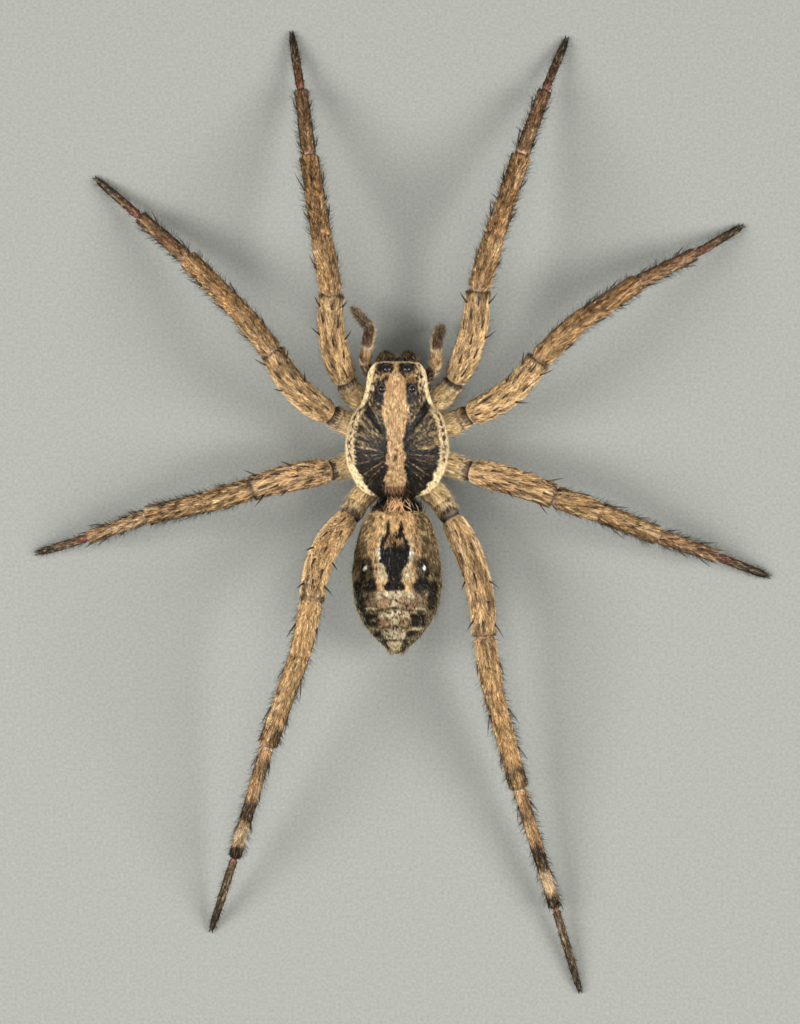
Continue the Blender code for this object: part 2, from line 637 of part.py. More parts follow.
def make_foot(node, name, joints, cuts, draw, materials):
    """Makes the metatarsus and tarsus with two claws, and cuts the sole flat on the floor."""
    slim = HIND_FOOT_SLIMNESS if name == "leg4" else 1.0
    start = joints[3] + cuts[3] * (GAP / 2)
    rings = segment_rings(start, joints[4], Vector(), cuts[3], cuts[4], METATARSUS_RADIUS, LEG_SIDES, slim)
    heading = (joints[5] - joints[4]).normalized()
    rings += segment_rings(joints[4], joints[5], Vector(), cuts[4], heading, TARSUS_RADIUS, LEG_SIDES, slim)
    foot = add_object(node, bridge_rings(rings), "foot", materials)
    for splay in (CLAW_SPLAY, -CLAW_SPLAY):
        boolean(foot, make_claw(joints[5], heading, splay, materials), "UNION")
    grow_spines(foot, "foot", start, joints[4], Vector(), METATARSUS_RADIUS, slim, draw, materials)
    flatten_sole(foot)


def make_claw(tip, heading, splay, materials):
    """Makes one hooked claw."""
    level = Vector((heading.x, heading.y, 0)).normalized()
    level.rotate(Matrix.Rotation(math.radians(splay), 3, "Z"))
    rings = []
    for i in range(4):
        t = i / 3
        turn = math.radians(55) * t
        centre = tip - heading * CLAW_RADIUS + level * (math.sin(turn) * CLAW_LENGTH)
        centre = centre + Vector((0, 0, 0.05 * MM - (1 - math.cos(turn)) * CLAW_LENGTH * 0.35))
        pointing = level * math.cos(turn) - Vector((0, 0, math.sin(turn) * 0.35))
        rings.append(round_ring(centre, pointing, CLAW_RADIUS * (1 - 0.75 * t), 5))
    return add_object("claw", bridge_rings(rings), "fang", materials)


def flatten_sole(foot):
    """Cuts away what reaches below the floor, and closes the flat."""
    bm = bmesh.new()
    bm.from_mesh(foot.data)
    geometry = list(bm.verts) + list(bm.edges) + list(bm.faces)
    cut = bmesh.ops.bisect_plane(bm, geom=geometry, dist=1e-7, plane_co=(0, 0, FLOOR_Z), plane_no=(0, 0, 1),
                                 clear_inner=True)
    rim = [item for item in cut["geom_cut"] if isinstance(item, bmesh.types.BMEdge)]
    bmesh.ops.holes_fill(bm, edges=rim)
    bmesh.ops.recalc_face_normals(bm, faces=bm.faces)
    bm.to_mesh(foot.data)
    bm.free()


def make_palp(name, cutter_mesh, materials):
    """Makes one palp, bent at its knee, from its root beside the mouth to its tip."""
    joints = [Vector(point) * MM for point in PALP_JOINTS[name]]
    lengths = [(b - a).length for a, b in zip(joints, joints[1:])]
    total = sum(lengths)
    rings = []
    for station, _ in PALP_RADIUS:
        reach = station * total
        index = 0
        while index < len(lengths) - 1 and reach > lengths[index]:
            reach -= lengths[index]
            index += 1
        t = min(reach / lengths[index], 1.0)
        centre = joints[index].lerp(joints[index + 1], t)
        here = (joints[index + 1] - joints[index]).normalized()
        before = (joints[index] - joints[index - 1]).normalized() if index else here
        after = (joints[index + 2] - joints[index + 1]).normalized() if index + 2 < len(joints) else here
        normal = here.lerp(mitre(before, here), (1 - t) ** 3).lerp(mitre(here, after), t ** 3)
        rings.append(round_ring(centre, normal, along(PALP_RADIUS, station), PALP_SIDES))
    palp = add_object(name, bridge_rings(rings), "palp", materials)
    boolean(palp, bpy.data.objects.new("cutter", cutter_mesh), "DIFFERENCE")


def main():
    """Builds the whole spider."""
    clear_scene()
    materials = make_materials()
    draw = random.Random(SPINE_SEED)
    cutter = core_cutter(materials)
    cutter_mesh = cutter.data
    bpy.data.objects.remove(cutter, do_unlink=True)
    make_cephalothorax(materials)
    make_eyes(materials)
    make_abdomen(materials)
    make_pedicel(materials)
    make_spinnerets(materials)
    for side, sign in (("left", 1), ("right", -1)):
        make_chelicera(side, sign, materials)
        make_fang(side, sign, materials)
        make_palp(f"palp_{side}", cutter_mesh, materials)
        for number, pair in PAIRS.items():
            headings, pitches = POSE[f"leg{number}_{side}"]
            make_leg(f"leg{number}", side, sign, pair, headings, pitches, cutter_mesh, draw, materials)


main()
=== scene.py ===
# %% [markdown]
# # A wolf spider, life-size
#
# This lesson dresses the solid model of a wolf spider. The solids hold every part at its real size, and
# this script adds what the eye sees: one skin along each leg, the pattern on the back, a coat of short
# hairs, bristles, spines, wet eyes and horny claws. Sizes are in millimetres while shapes are worked out,
# and are scaled to metres when a mesh is made.

# %% Open the frame
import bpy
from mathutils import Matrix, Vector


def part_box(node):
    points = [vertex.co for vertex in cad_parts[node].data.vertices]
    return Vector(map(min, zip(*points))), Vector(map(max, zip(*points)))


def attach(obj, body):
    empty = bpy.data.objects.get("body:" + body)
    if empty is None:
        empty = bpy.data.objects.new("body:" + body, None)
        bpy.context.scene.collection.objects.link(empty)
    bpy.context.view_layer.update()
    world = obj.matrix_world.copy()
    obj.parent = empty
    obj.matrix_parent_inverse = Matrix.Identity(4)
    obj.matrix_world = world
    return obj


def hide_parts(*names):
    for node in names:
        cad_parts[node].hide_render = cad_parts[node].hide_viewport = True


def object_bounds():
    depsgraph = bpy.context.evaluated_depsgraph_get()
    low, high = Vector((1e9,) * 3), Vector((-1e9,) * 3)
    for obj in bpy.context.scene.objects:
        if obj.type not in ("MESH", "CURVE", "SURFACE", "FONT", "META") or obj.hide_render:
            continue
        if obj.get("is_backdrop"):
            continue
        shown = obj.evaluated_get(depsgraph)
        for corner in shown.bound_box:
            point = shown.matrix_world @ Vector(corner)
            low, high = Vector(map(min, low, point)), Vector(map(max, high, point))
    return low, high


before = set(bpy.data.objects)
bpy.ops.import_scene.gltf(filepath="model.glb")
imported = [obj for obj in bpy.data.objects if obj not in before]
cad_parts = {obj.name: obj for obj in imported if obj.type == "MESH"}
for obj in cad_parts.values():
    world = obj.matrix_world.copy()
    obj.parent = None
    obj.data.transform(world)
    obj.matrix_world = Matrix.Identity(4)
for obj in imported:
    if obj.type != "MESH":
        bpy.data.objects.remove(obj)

import copy
import math

import bpy
import numpy as np
from mathutils import Vector

MM = 0.001
solid_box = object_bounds()


def tell_reach(label, box):
    """Prints how far a box reaches, in millimetres."""
    low, high = ([round(value / MM, 1) for value in corner] for corner in box)
    print(label, "from", low, "to", high)


def span(node):
    """Gives the lowest and highest corner of a solid, in millimetres."""
    low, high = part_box(node)
    return np.array(low) / MM, np.array(high) / MM


def middle_of(node):
    """Gives the middle of a solid and half its size along each axis, in millimetres."""
    low, high = span(node)
    return (low + high) / 2, (high - low) / 2


tell_reach("the solids reach", solid_box)
head_low, head_high = span("cephalothorax")
rear_low, rear_high = span("abdomen")
HEAD_LENGTH = head_high[1] - head_low[1]
REAR_LENGTH = rear_high[1] - rear_low[1]
BODY_X = (head_low[0] + head_high[0]) / 2
TOP_Z = solid_box[1][2] / MM
SIDES = (("left", 1), ("right", -1))

# %% [markdown]
# ## The camera
#
# The animal is seen from straight above, with its head up in the picture. A long lens far away keeps the
# legs in proportion. The picture is 800 by 1024 pixels, and one pixel is 0.068 mm on the floor.

# %% Set up the camera
PIXEL = 0.068
PICTURE_HEIGHT = 1024
CAMERA_HEIGHT = 420.0
SENSOR = 24.0
camera = bpy.data.objects.new("camera", bpy.data.cameras.new("camera"))
camera.data.sensor_fit = "VERTICAL"
camera.data.sensor_height = SENSOR
camera.data.lens = SENSOR * CAMERA_HEIGHT / (PICTURE_HEIGHT * PIXEL)
camera.data.clip_start = 0.01
camera.location = (0.0, 0.0, CAMERA_HEIGHT * MM)
camera.rotation_euler = (0.0, 0.0, math.pi)
bpy.context.scene.collection.objects.link(camera)
bpy.context.scene.camera = camera
bpy.context.scene.view_settings.view_transform = "Standard"
print("the lens is", round(camera.data.lens), "mm long")

# %% [markdown]
# ## Curves and noise
#
# A living shape has no straight edges. Its widths are read from a smooth curve through a few measured
# points. Its pattern is broken up by soft noise, made here as a sum of waves that run in random
# directions: stretched waves give streaks, and even ones give blotches.

# %% Write the helpers for curves and noise
def along(stations, place):
    """Reads a smooth curve through (station, size) points, and never overshoots them."""
    x, y = np.array(stations, float).T
    width = np.diff(x)
    rise = np.diff(y) / width
    slope = np.concatenate([rise[:1], np.zeros(len(x) - 2), rise[-1:]])
    same = rise[:-1] * rise[1:] > 0
    both = np.where(same, rise[:-1] + rise[1:], 1.0)
    slope[1:-1] = np.where(same, 2 * rise[:-1] * rise[1:] / both, 0.0)
    place = np.clip(place, x[0], x[-1])
    i = np.clip(np.searchsorted(x, place, "right") - 1, 0, len(width) - 1)
    t = (place - x[i]) / width[i]
    return (y[i] * (2 * t ** 3 - 3 * t ** 2 + 1) + y[i + 1] * (3 * t ** 2 - 2 * t ** 3)
            + width[i] * (slope[i] * (t ** 3 - 2 * t ** 2 + t) + slope[i + 1] * (t ** 3 - t ** 2)))


def ease(value, low, high):
    """Goes smoothly from 0 at low to 1 at high."""
    t = np.clip((value - low) / (high - low), 0.0, 1.0)
    return t * t * (3 - 2 * t)


def fade(value, low, high):
    """Goes smoothly from 1 at low to 0 at high."""
    return 1 - ease(value, low, high)


def band(value, low, high, soft):
    """Is 1 between low and high and 0 outside, with soft edges."""
    return ease(value, low - soft, low + soft) * fade(value, high - soft, high + soft)


def groove(distance, width):
    """Is 1 on a line and falls off smoothly on both sides."""
    return np.exp(-(distance / width) ** 2)


def rounded(share, front, rear):
    """Closes a shape to a round end at its front and rear: 0 at the ends and 1 between them."""
    to_front, to_rear = 1 - np.clip(share / front, 0, 1), 1 - np.clip((1 - share) / rear, 0, 1)
    return np.sqrt(np.clip(1 - to_front ** 2, 0, 1)) * np.sqrt(np.clip(1 - to_rear ** 2, 0, 1))


def noise(places, sizes, seed, waves=28):
    """Gives smooth noise from about -1 to 1, with blotches of the given size along each axis."""
    draw = np.random.default_rng(seed)
    places = np.asarray(places, float) / np.asarray(sizes, float)
    turns = draw.normal(0, 2.2, (places.shape[-1], waves))
    phases = draw.uniform(0, 2 * math.pi, waves)
    return np.sin(places @ turns + phases).sum(-1) * math.sqrt(2 / waves) * 0.6


def unit(vectors):
    """Scales vectors to length 1."""
    return vectors / np.maximum(np.linalg.norm(vectors, axis=-1, keepdims=True), 1e-9)


# %% [markdown]
# ## Colours
#
# A pattern is laid down as a painter would: a ground colour first, then one colour after another, each
# with a mask that says how much of it each point takes. Colours are written as a screen shows them.

# %% Write the helpers for colours
def paint(red, green, blue):
    """Turns a colour as a screen shows it, 0 to 255, into the light that it sends back."""
    shown = np.array([red, green, blue]) / 255
    return np.where(shown <= 0.04045, shown / 12.92, ((shown + 0.055) / 1.055) ** 2.4)


def plain(colour, points):
    """Gives every point the same colour."""
    return np.tile(colour, (len(points), 1))


def lay(shade, *layers):
    """Lays colours over a ground in turn, each by its own share for each point."""
    for colour, share in layers:
        share = np.clip(share, 0, 1)[..., None]
        shade = shade * (1 - share) + colour * share
    return shade


DARK_BROWN = paint(62, 44, 30)
NEARLY_BLACK = paint(30, 24, 20)
PURPLE_BROWN = paint(70, 42, 38)
RED_BROWN = paint(112, 64, 48)
PALE_TAN = paint(226, 200, 160)
CREAM = paint(224, 199, 154)
HEAD_BROWN = paint(176, 136, 88)

# %% [markdown]
# ## Skins
#
# A skin is a mesh with three facts at each point: its colour, the way its hairs lie, and its place on a
# flat map. Hairs are planted on it afterwards, thicker where a crowd value is higher.

# %% Write the helpers for meshes
def read_all(items, key, kind=float):
    """Reads three numbers of every point or triangle of a mesh."""
    values = np.empty(len(items) * 3, kind)
    items.foreach_get(key, values)
    return values.reshape(-1, 3)


def points_of(piece):
    """Gives the points of a mesh, in millimetres."""
    return read_all(piece.data.vertices, "co") / MM


def store(piece, name, kind, key, values):
    """Stores one colour or vector for each point of a mesh."""
    layer = piece.data.attributes.new(name, kind, "POINT")
    layer.data.foreach_set(key, np.ascontiguousarray(values, np.float32).ravel())


def set_tint(piece, colours):
    """Stores one colour for each point of a mesh."""
    filled = np.column_stack([np.clip(colours, 0.0, 1.0), np.ones(len(colours))])
    store(piece, "tint", "FLOAT_COLOR", "color", filled)


def mesh_from(name, points, faces):
    """Makes a mesh object from arrays of points in millimetres and of triangles."""
    mesh = bpy.data.meshes.new(name)
    mesh.vertices.add(len(points))
    mesh.vertices.foreach_set("co", np.ascontiguousarray(points * MM, np.float32).ravel())
    mesh.loops.add(faces.size)
    mesh.loops.foreach_set("vertex_index", np.ascontiguousarray(faces, np.int32).ravel())
    mesh.polygons.add(len(faces))
    mesh.polygons.foreach_set("loop_start", np.arange(0, faces.size, 3, dtype=np.int32))
    mesh.update(calc_edges=True)
    piece = bpy.data.objects.new(name, mesh)
    bpy.context.scene.collection.objects.link(piece)
    return piece


def take(*pieces):
    """Selects only these pieces, and makes the first one active."""
    bpy.ops.object.select_all(action="DESELECT")
    for piece in pieces:
        piece.select_set(True)
    if pieces:
        bpy.context.view_layer.objects.active = pieces[0]


def edit(*steps):
    """Runs operators, each with its settings, on all of the active mesh in edit mode."""
    bpy.ops.object.mode_set(mode="EDIT")
    bpy.ops.mesh.select_all(action="SELECT")
    for step, settings in steps:
        step(**settings)
    bpy.ops.object.mode_set(mode="OBJECT")


OUTWARDS = (bpy.ops.mesh.normals_make_consistent, {"inside": False})


def finished(name):
    """Names the active piece, puts its place into its mesh, shades it smooth and drops its flat maps."""
    piece = bpy.context.object
    piece.name = name
    bpy.ops.object.transform_apply(location=True, rotation=True, scale=True)
    bpy.ops.object.shade_smooth()
    for layer in list(piece.data.uv_layers):
        piece.data.uv_layers.remove(layer)
    return piece


class Skin:
    """A mesh with the colour, hair direction and map place of each of its points."""

    def __init__(self, piece, tint, lie, station, angle, grain):
        piece.data.calc_loop_triangles()
        self.points = points_of(piece)
        self.normals = read_all(piece.data.vertex_normals, "vector")
        self.triangles = read_all(piece.data.loop_triangles, "vertices", np.int32)
        self.tint = tint
        self.lie = lie
        self.spot = np.stack([station, np.cos(angle), np.sin(angle)], -1)
        set_tint(piece, tint)
        store(piece, "grain", "FLOAT_VECTOR", "vector", np.stack([*grain, np.zeros(len(tint))], -1))

    def combed(self, *lie):
        """Gives the same skin with its hairs lying another way."""
        other = copy.copy(self)
        other.lie = np.tile(unit(np.array(lie, float)), (len(self.points), 1))
        return other

    def pick(self, count, seed, crowd=None):
        """Picks roots at random over the surface, more of them where crowd is higher."""
        draw = np.random.default_rng(seed)
        corners = self.points[self.triangles]
        area = np.linalg.norm(np.cross(corners[:, 1] - corners[:, 0], corners[:, 2] - corners[:, 0]), axis=-1)
        if crowd is not None:
            area = area * crowd[self.triangles].mean(-1)
        chosen = np.searchsorted(np.cumsum(area) / area.sum(), draw.uniform(0, 1, count))
        chosen = self.triangles[np.minimum(chosen, len(area) - 1)]
        a, b = draw.uniform(0, 1, (2, count))
        a, b = np.where(a + b > 1, 1 - a, a), np.where(a + b > 1, 1 - b, b)
        shares = np.stack([1 - a - b, a, b], -1)[..., None]
        facts = ("points", "normals", "tint", "lie", "spot")
        return {fact: (getattr(self, fact)[chosen] * shares).sum(1) for fact in facts}


# %% [markdown]
# ## Finishes
#
# Shader maths reads best as plain sums, so a small class stands for one output of a node, and Python's
# operators add the Math nodes. The skins and coats carry their own colours, so their material reads the
# stored tint and adds only the fine grain, the gloss and the relief.

# %% Write the class for shader sums
class Wire:
    """One output of a node, which can be added, multiplied and fed into other nodes."""

    def __init__(self, tree, socket):
        self.tree = tree
        self.socket = socket

    def add(self, kind, settings, inputs, output=0):
        """Adds a node of any kind, sets it up, fills its inputs and gives one of its outputs."""
        node = self.tree.nodes.new(kind)
        for key, value in settings.items():
            setattr(node, key, value)
        for key, value in inputs.items():
            if isinstance(value, Wire):
                self.tree.links.new(value.socket, node.inputs[key])
            else:
                node.inputs[key].default_value = value
        return Wire(self.tree, node.outputs[output])

    def math(self, operation, first, second):
        """Adds a Math node on two numbers or wires."""
        return self.add("ShaderNodeMath", {"operation": operation}, {0: first, 1: second})

    def __add__(self, other):
        return self.math("ADD", self, other)

    def __mul__(self, other):
        return self.math("MULTIPLY", self, other)

    def noise(self, scale, detail, vector=None):
        """Adds a noise on the object's own places, or on another vector."""
        vector = vector or self.add("ShaderNodeTexCoord", {}, {}, "Object")
        return self.add("ShaderNodeTexNoise", {}, {"Vector": vector, "Scale": scale, "Detail": detail}, "Fac")

    def stored(self, name, output):
        """Reads what the mesh stores at each point."""
        return self.add("ShaderNodeAttribute", {"attribute_name": name}, {}, output)

    def shaded(self, strength):
        """Makes a colour lighter or darker."""
        return self.add("ShaderNodeVectorMath", {"operation": "SCALE"}, {0: self, "Scale": strength})

    def relief(self, strength, depth):
        """Turns a height into a relief."""
        inputs = {"Strength": strength, "Distance": depth * MM, "Height": self}
        return self.add("ShaderNodeBump", {}, inputs, "Normal")


def new_material(name, **constants):
    """Makes a Principled material, sets its constants and gives a starting wire and a way to feed it."""
    material = bpy.data.materials.new(name)
    material.use_nodes = True
    tree = material.node_tree
    shader = tree.nodes["Principled BSDF"]
    for key, value in constants.items():
        shader.inputs[key.replace("_", " ")].default_value = value

    def feed(**wires):
        for key, wire in wires.items():
            tree.links.new(wire.socket, shader.inputs[key.replace("_", " ")])
        return material

    return Wire(tree, shader.outputs[0]), feed


# %% [markdown]
# ## The finish of skin, hair and horn
#
# A spider's skin is a dull, finely grained shell. Its hairs shine a little more. Claws, spines and fangs
# are dark polished horn, and the eyes are wet lenses: these hard parts blend two dark tones by a noise.

# %% Mix the finishes of skin, hair and horn
STRETCH = (1.3, 9.0, 1.0)
SPINE_TONES = ((0.012, 0.008, 0.006), (0.035, 0.02, 0.013))
FANG_TONES = ((0.01, 0.005, 0.004), (0.05, 0.014, 0.008))
EYE_TONES = ((0.003, 0.003, 0.003), (0.016, 0.011, 0.008))


def cuticle(name, gloss, relief, grain_size):
    """Makes the finish of a skin: its own tint, a fine grain along the lie of the hairs, and a dull gloss."""
    start, feed = new_material(name, IOR=1.45)
    grain = start.stored("grain", "Vector")
    stretched = start.add("ShaderNodeMapping", {}, {"Vector": grain, "Scale": STRETCH})
    speck = start.noise(1 / (grain_size * MM), 4.0)
    strength = start.noise(1.0, 3.0, stretched) * 0.55 + speck * 0.45
    return feed(Base_Color=start.stored("tint", "Color").shaded(strength * 1.2 + 0.4),
                Roughness=speck * 0.25 + gloss, Normal=strength.relief(relief, 0.06))


def hair_finish(name, roughness):
    """Makes the finish of hairs: the tint of each hair, a little uneven along it."""
    start, feed = new_material(name, Specular_IOR_Level=0.12)
    uneven = start.noise(4000.0, 2.0)
    return feed(Base_Color=start.stored("tint", "Color").shaded(uneven * 0.6 + 0.7),
                Roughness=uneven * 0.2 + roughness)


def two_tone(name, scale, detail, tones, roughness, spread, relief=0, **constants):
    """Makes a finish of two tones that a fine noise blends, with an uneven gloss."""
    start, feed = new_material(name, **constants)
    cloudy = start.noise(scale, detail)
    blend = {"Factor": cloudy, 6: (*tones[0], 1.0), 7: (*tones[1], 1.0)}
    mixed = start.add("ShaderNodeMix", {"data_type": "RGBA"}, blend, 2)
    if relief:
        feed(Normal=cloudy.relief(relief, 0.05))
    return feed(Base_Color=mixed, Roughness=cloudy * spread + roughness)


LEG_SKIN = cuticle("leg_cuticle", 0.4, 0.5, 0.12)
BODY_SKIN = cuticle("body_cuticle", 0.42, 0.6, 0.1)
JAW_SKIN = cuticle("jaw_cuticle", 0.2, 0.3, 0.1)
HAIR = hair_finish("short_hair", 0.42)
BRISTLE = hair_finish("bristle_hair", 0.3)
SPINE_HORN = two_tone("spine_horn", 1500, 3, SPINE_TONES, 0.25, 0.15, IOR=1.55)
FANG_HORN = two_tone("fang_horn", 1500, 3, FANG_TONES, 0.16, 0.15, IOR=1.55)
LENS = two_tone("eye_lens", 1800, 2, EYE_TONES, 0.03, 0.06, Specular_IOR_Level=0.3)
print("mixed", len(bpy.data.materials), "finishes")


def dress(piece, material, slot, *nodes):
    """Gives a piece its finish and its body, and hides the solids that it stands for. The slot is not used.
    """
    piece.data.materials.clear()
    piece.data.materials.append(material)
    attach(piece, "root")
    if nodes:
        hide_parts(*nodes)


# %% [markdown]
# ## Hairs and bristles
#
# A coat is thousands of short hairs that are rooted on a skin. Each hair is one closed sliver of four
# triangles, or a bent bristle of ten. Particle hair would be easier, but it isn't part of the mesh.

# %% Shape one hair and one bristle
def bristle_model(bend):
    """Shapes a three-sided hair that bends once on its way to the tip."""
    turns = [2 * math.pi * i / 3 for i in range(3)]
    points = [(reach, math.cos(turn) * thick * 0.5, math.sin(turn) * thick * 0.5)
              for reach, thick in ((0.0, 1.0), (0.5, 0.7)) for turn in turns]
    faces = [(2, 1, 0)]
    for i, j in ((0, 1), (1, 2), (2, 0)):
        faces += [(i, j, 3 + j), (i, 3 + j, 3 + i), (3 + i, 3 + j, 6)]
    return np.array([*points, (1.0, 0.0, 0.0)]), np.array(faces), np.array([0, 0, 0, 1, 1, 1, 0]) * bend


HAIR_MODEL = (np.array([(0, -0.5, 0), (0, 0.5, 0), (0.35, 0, 0.8), (1, 0, 0.1)]),
              np.array([(0, 1, 2), (1, 3, 2), (3, 0, 2), (0, 3, 1)]), np.zeros(4))
BRISTLE_MODEL = bristle_model(0.06)
ROOT_DEPTH = 0.02
FLOOR_GAP = 0.02
HEIGHT_LIMIT = TOP_Z * 1.022
UV_PATCH = 0.003
UV_MARGIN = 0.01


def plant(name, model, roots, forward, upward, length, width, tint, station, angle):
    """Copies one hair to every root as a single mesh, with its colour and its map.
    Each hair's colour is painted darker at its root and lighter at its tip, as painted shade among the hairs.
    """
    shape, faces, lift = model
    sideways = unit(np.cross(upward, forward))
    upward = np.cross(forward, sideways)
    parts = ((shape[:, 0] * length[:, None], forward), (shape[:, 1] * width[:, None], sideways),
             (shape[:, 2] * width[:, None] + lift * length[:, None], upward))
    points = roots[:, None, :] + sum(size[..., None] * way[:, None, :] for size, way in parts)
    points[..., 2] = np.clip(points[..., 2], FLOOR_GAP, HEIGHT_LIMIT)
    count, corners = points.shape[:2]
    all_faces = (faces[None] + np.arange(count)[:, None, None] * corners).reshape(-1, 3)
    coat = mesh_from(name, points.reshape(-1, 3), all_faces)
    # Painted shade and light: each hair or spine is darker at its root and lighter at its tip.
    shade = 0.62 + 0.56 * shape[:, 0]
    set_tint(coat, (tint[:, None, :] * shade[None, :, None]).reshape(-1, 3))
    flat = UV_MARGIN + (1 - 2 * UV_MARGIN) * np.stack([station, (angle / (2 * math.pi)) % 1.0], -1)
    patch = flat[:, None, :] + (shape[None, :, :2] - 0.5) * UV_PATCH
    layer = coat.data.uv_layers.new(name="OFBake")
    layer.data.foreach_set("uv", patch.reshape(-1, 2)[all_faces.ravel()].astype(np.float32).ravel())
    return coat


def angle_of(roots):
    """Gives the angle of roots round the limb or body that they grow on."""
    return np.arctan2(roots["spot"][:, 2], roots["spot"][:, 1])


def grow(name, slot, skin, count, seed, length, width, lift, spread, tint, crowd=None, bent=False):
    """Grows a coat on a skin. The length may be a rule on the roots; lift and spread are in degrees."""
    roots = skin.pick(count, seed, crowd)
    draw = np.random.default_rng(seed + 1)
    normals = unit(roots["normals"])
    lie = unit(roots["lie"] - normals * (roots["lie"] * normals).sum(-1, keepdims=True))
    sideways = unit(np.cross(normals, lie))
    rise = np.radians(lift * draw.uniform(0.6, 1.4, count))[:, None]
    swing = (np.radians(spread) * draw.normal(0, 1, count))[:, None]
    flat = unit(lie * np.cos(swing) + sideways * np.sin(swing))
    forward = flat * np.cos(rise) + normals * np.sin(rise)
    colours = tint(roots, draw)
    size = length(roots) if callable(length) else length
    coat = plant(name, BRISTLE_MODEL if bent else HAIR_MODEL, roots["points"] - normals * ROOT_DEPTH, forward,
                 normals, size * draw.uniform(0.75, 1.25, count), width * draw.uniform(0.8, 1.2, count),
                 colours, roots["spot"][:, 0], angle_of(roots))
    dress(coat, BRISTLE if bent else HAIR, slot)


# %% [markdown]
# ## The legs' lines
#
# A leg is seven lengths: coxa, trochanter, femur, patella, tibia, metatarsus and tarsus. They are numbered
# from 0 to 6, and joint 4 is the one between patella and tibia, which the coat covers. Each leg's line is
# worked out from the turn and rise of its segments, as in the solids, and is sampled about every eighth
# of a millimetre. At each sample the line has a frame: along, sideways and up.

# %% Work out the lines of the legs
SAMPLE = 0.12
LEG_BASE_Z = 3.0
LEG_TIP_Z = 0.19
FEMUR_RISE = 0.3
CORE_Z = 2.9
LEG_SIZES = {
    1: dict(root=(1.12, -6.72), coxa_tip=(3.2, -8.0), base=(3.68, -8.84), bow=0.4,
            lengths=(6.85, 3.79, 6.38, 5.28, 4.03)),
    2: dict(root=(1.28, -5.41), coxa_tip=(3.75, -6.05), base=(4.7, -6.6), bow=0.5,
            lengths=(6.56, 3.69, 5.53, 4.85, 4.06)),
    3: dict(root=(1.3, -4.04), coxa_tip=(3.75, -3.05), base=(4.76, -2.75), bow=-0.15,
            lengths=(6.12, 3.22, 4.65, 4.6, 3.9)),
    4: dict(root=(1.0, -2.59), coxa_tip=(2.75, -0.85), base=(3.45, 0.45), bow=-0.6,
            lengths=(8.4, 3.75, 7.12, 8.76, 5.85))}
POSE = {
    (1, "left"): ((9, 10, 9, 7, 9.5), (33, -2, -26, -27)),
    (1, "right"): ((14.5, 16.5, 18.5, 20, 22.5), (26.5, 1.5, -23, -24)),
    (2, "left"): ((43, 39, 44.5, 48.5, 49), (32, -15, -23, -24)),
    (2, "right"): ((52, 46.5, 56, 63, 59.5), (28.5, 3, -28, -22)),
    (3, "left"): ((103, 106, 103, 110, 106.5), (30, -15.5, -25, -17.5)),
    (3, "right"): ((107, 108.5, 112, 109, 111), (19, -8, -22.5, -18)),
    (4, "left"): ((156, 167.5, 160, 163.5, 162), (45.5, 3, -24.5, -22.5)),
    (4, "right"): ((164.5, 170.5, 165, 163, 163.5), (14, -8.5, -14, -11))}


class Limb:
    """The middle line of a leg or palp, sampled evenly, with a frame and a radius at each sample."""

    def __init__(self, stops, blur, bows=()):
        stops = np.array(stops, float)
        bows = dict(bows)
        points, part, share = [], [], []
        for index, (start, end) in enumerate(zip(stops, stops[1:])):
            steps = max(2, int(np.linalg.norm(end - start) / SAMPLE))
            t = np.arange(steps) / steps
            bow = bows.get(index, np.zeros(3))
            points.append(start + (end - start) * t[:, None] + bow * (4 * t * (1 - t))[:, None])
            part.append(np.full(steps, index))
            share.append(t)
        raw = np.concatenate([*points, stops[-1:]])
        self.part = np.concatenate([*part, [len(stops) - 2]])
        self.share = np.concatenate([*share, [1.0]])
        self.lengths = np.linalg.norm(np.diff(stops, axis=0), axis=-1)
        margin = int(blur * 3)
        weights = np.exp(-0.5 * (np.arange(-margin, margin + 1) / blur) ** 2)
        weights /= weights.sum()
        before = raw[0] + (raw[0] - raw[1]) * np.arange(margin, 0, -1)[:, None]
        after = raw[-1] + (raw[-1] - raw[-2]) * np.arange(1, margin + 1)[:, None]
        padded = np.concatenate([before, raw, after])
        self.points = np.stack([np.convolve(padded[:, i], weights, "valid") for i in range(3)], -1)
        self.forward = unit(np.gradient(self.points, axis=0))
        self.sideways = unit(np.cross(self.forward, np.array([0.0, 0.0, 1.0])))
        self.upward = np.cross(self.sideways, self.forward)
        self.reach = np.concatenate([[0], np.cumsum(np.linalg.norm(np.diff(self.points, axis=0), axis=-1))])
        self.radius = None

    def to_joint(self):
        """Gives how far each sample is from the nearest joint between two parts."""
        length = self.lengths[self.part]
        near = np.minimum(self.share, 1 - self.share) * length
        return np.where(self.part == len(self.lengths) - 1, self.share * length, near)

    def joint(self):
        """Gives the number of the joint that each sample is nearest to."""
        return self.part + (self.share > 0.5)

    def swell(self, tables):
        """Reads the radius of each part from its own table."""
        self.radius = np.zeros(len(self.points))
        for index, table in enumerate(tables):
            here = self.part == index
            self.radius[here] = along(table, self.share[here])

    def sample_of(self, spot):
        """Finds the sample that each place on the limb's skin belongs to."""
        return np.clip(np.searchsorted(self.reach, spot[:, 0] * self.reach[-1]), 0, len(self.reach) - 1)


def heading(turn, rise, sign):
    """Turns two angles in degrees into a direction."""
    turn, rise = math.radians(turn), math.radians(rise)
    level = math.cos(rise)
    return np.array([sign * math.sin(turn) * level, -math.cos(turn) * level, math.sin(rise)])


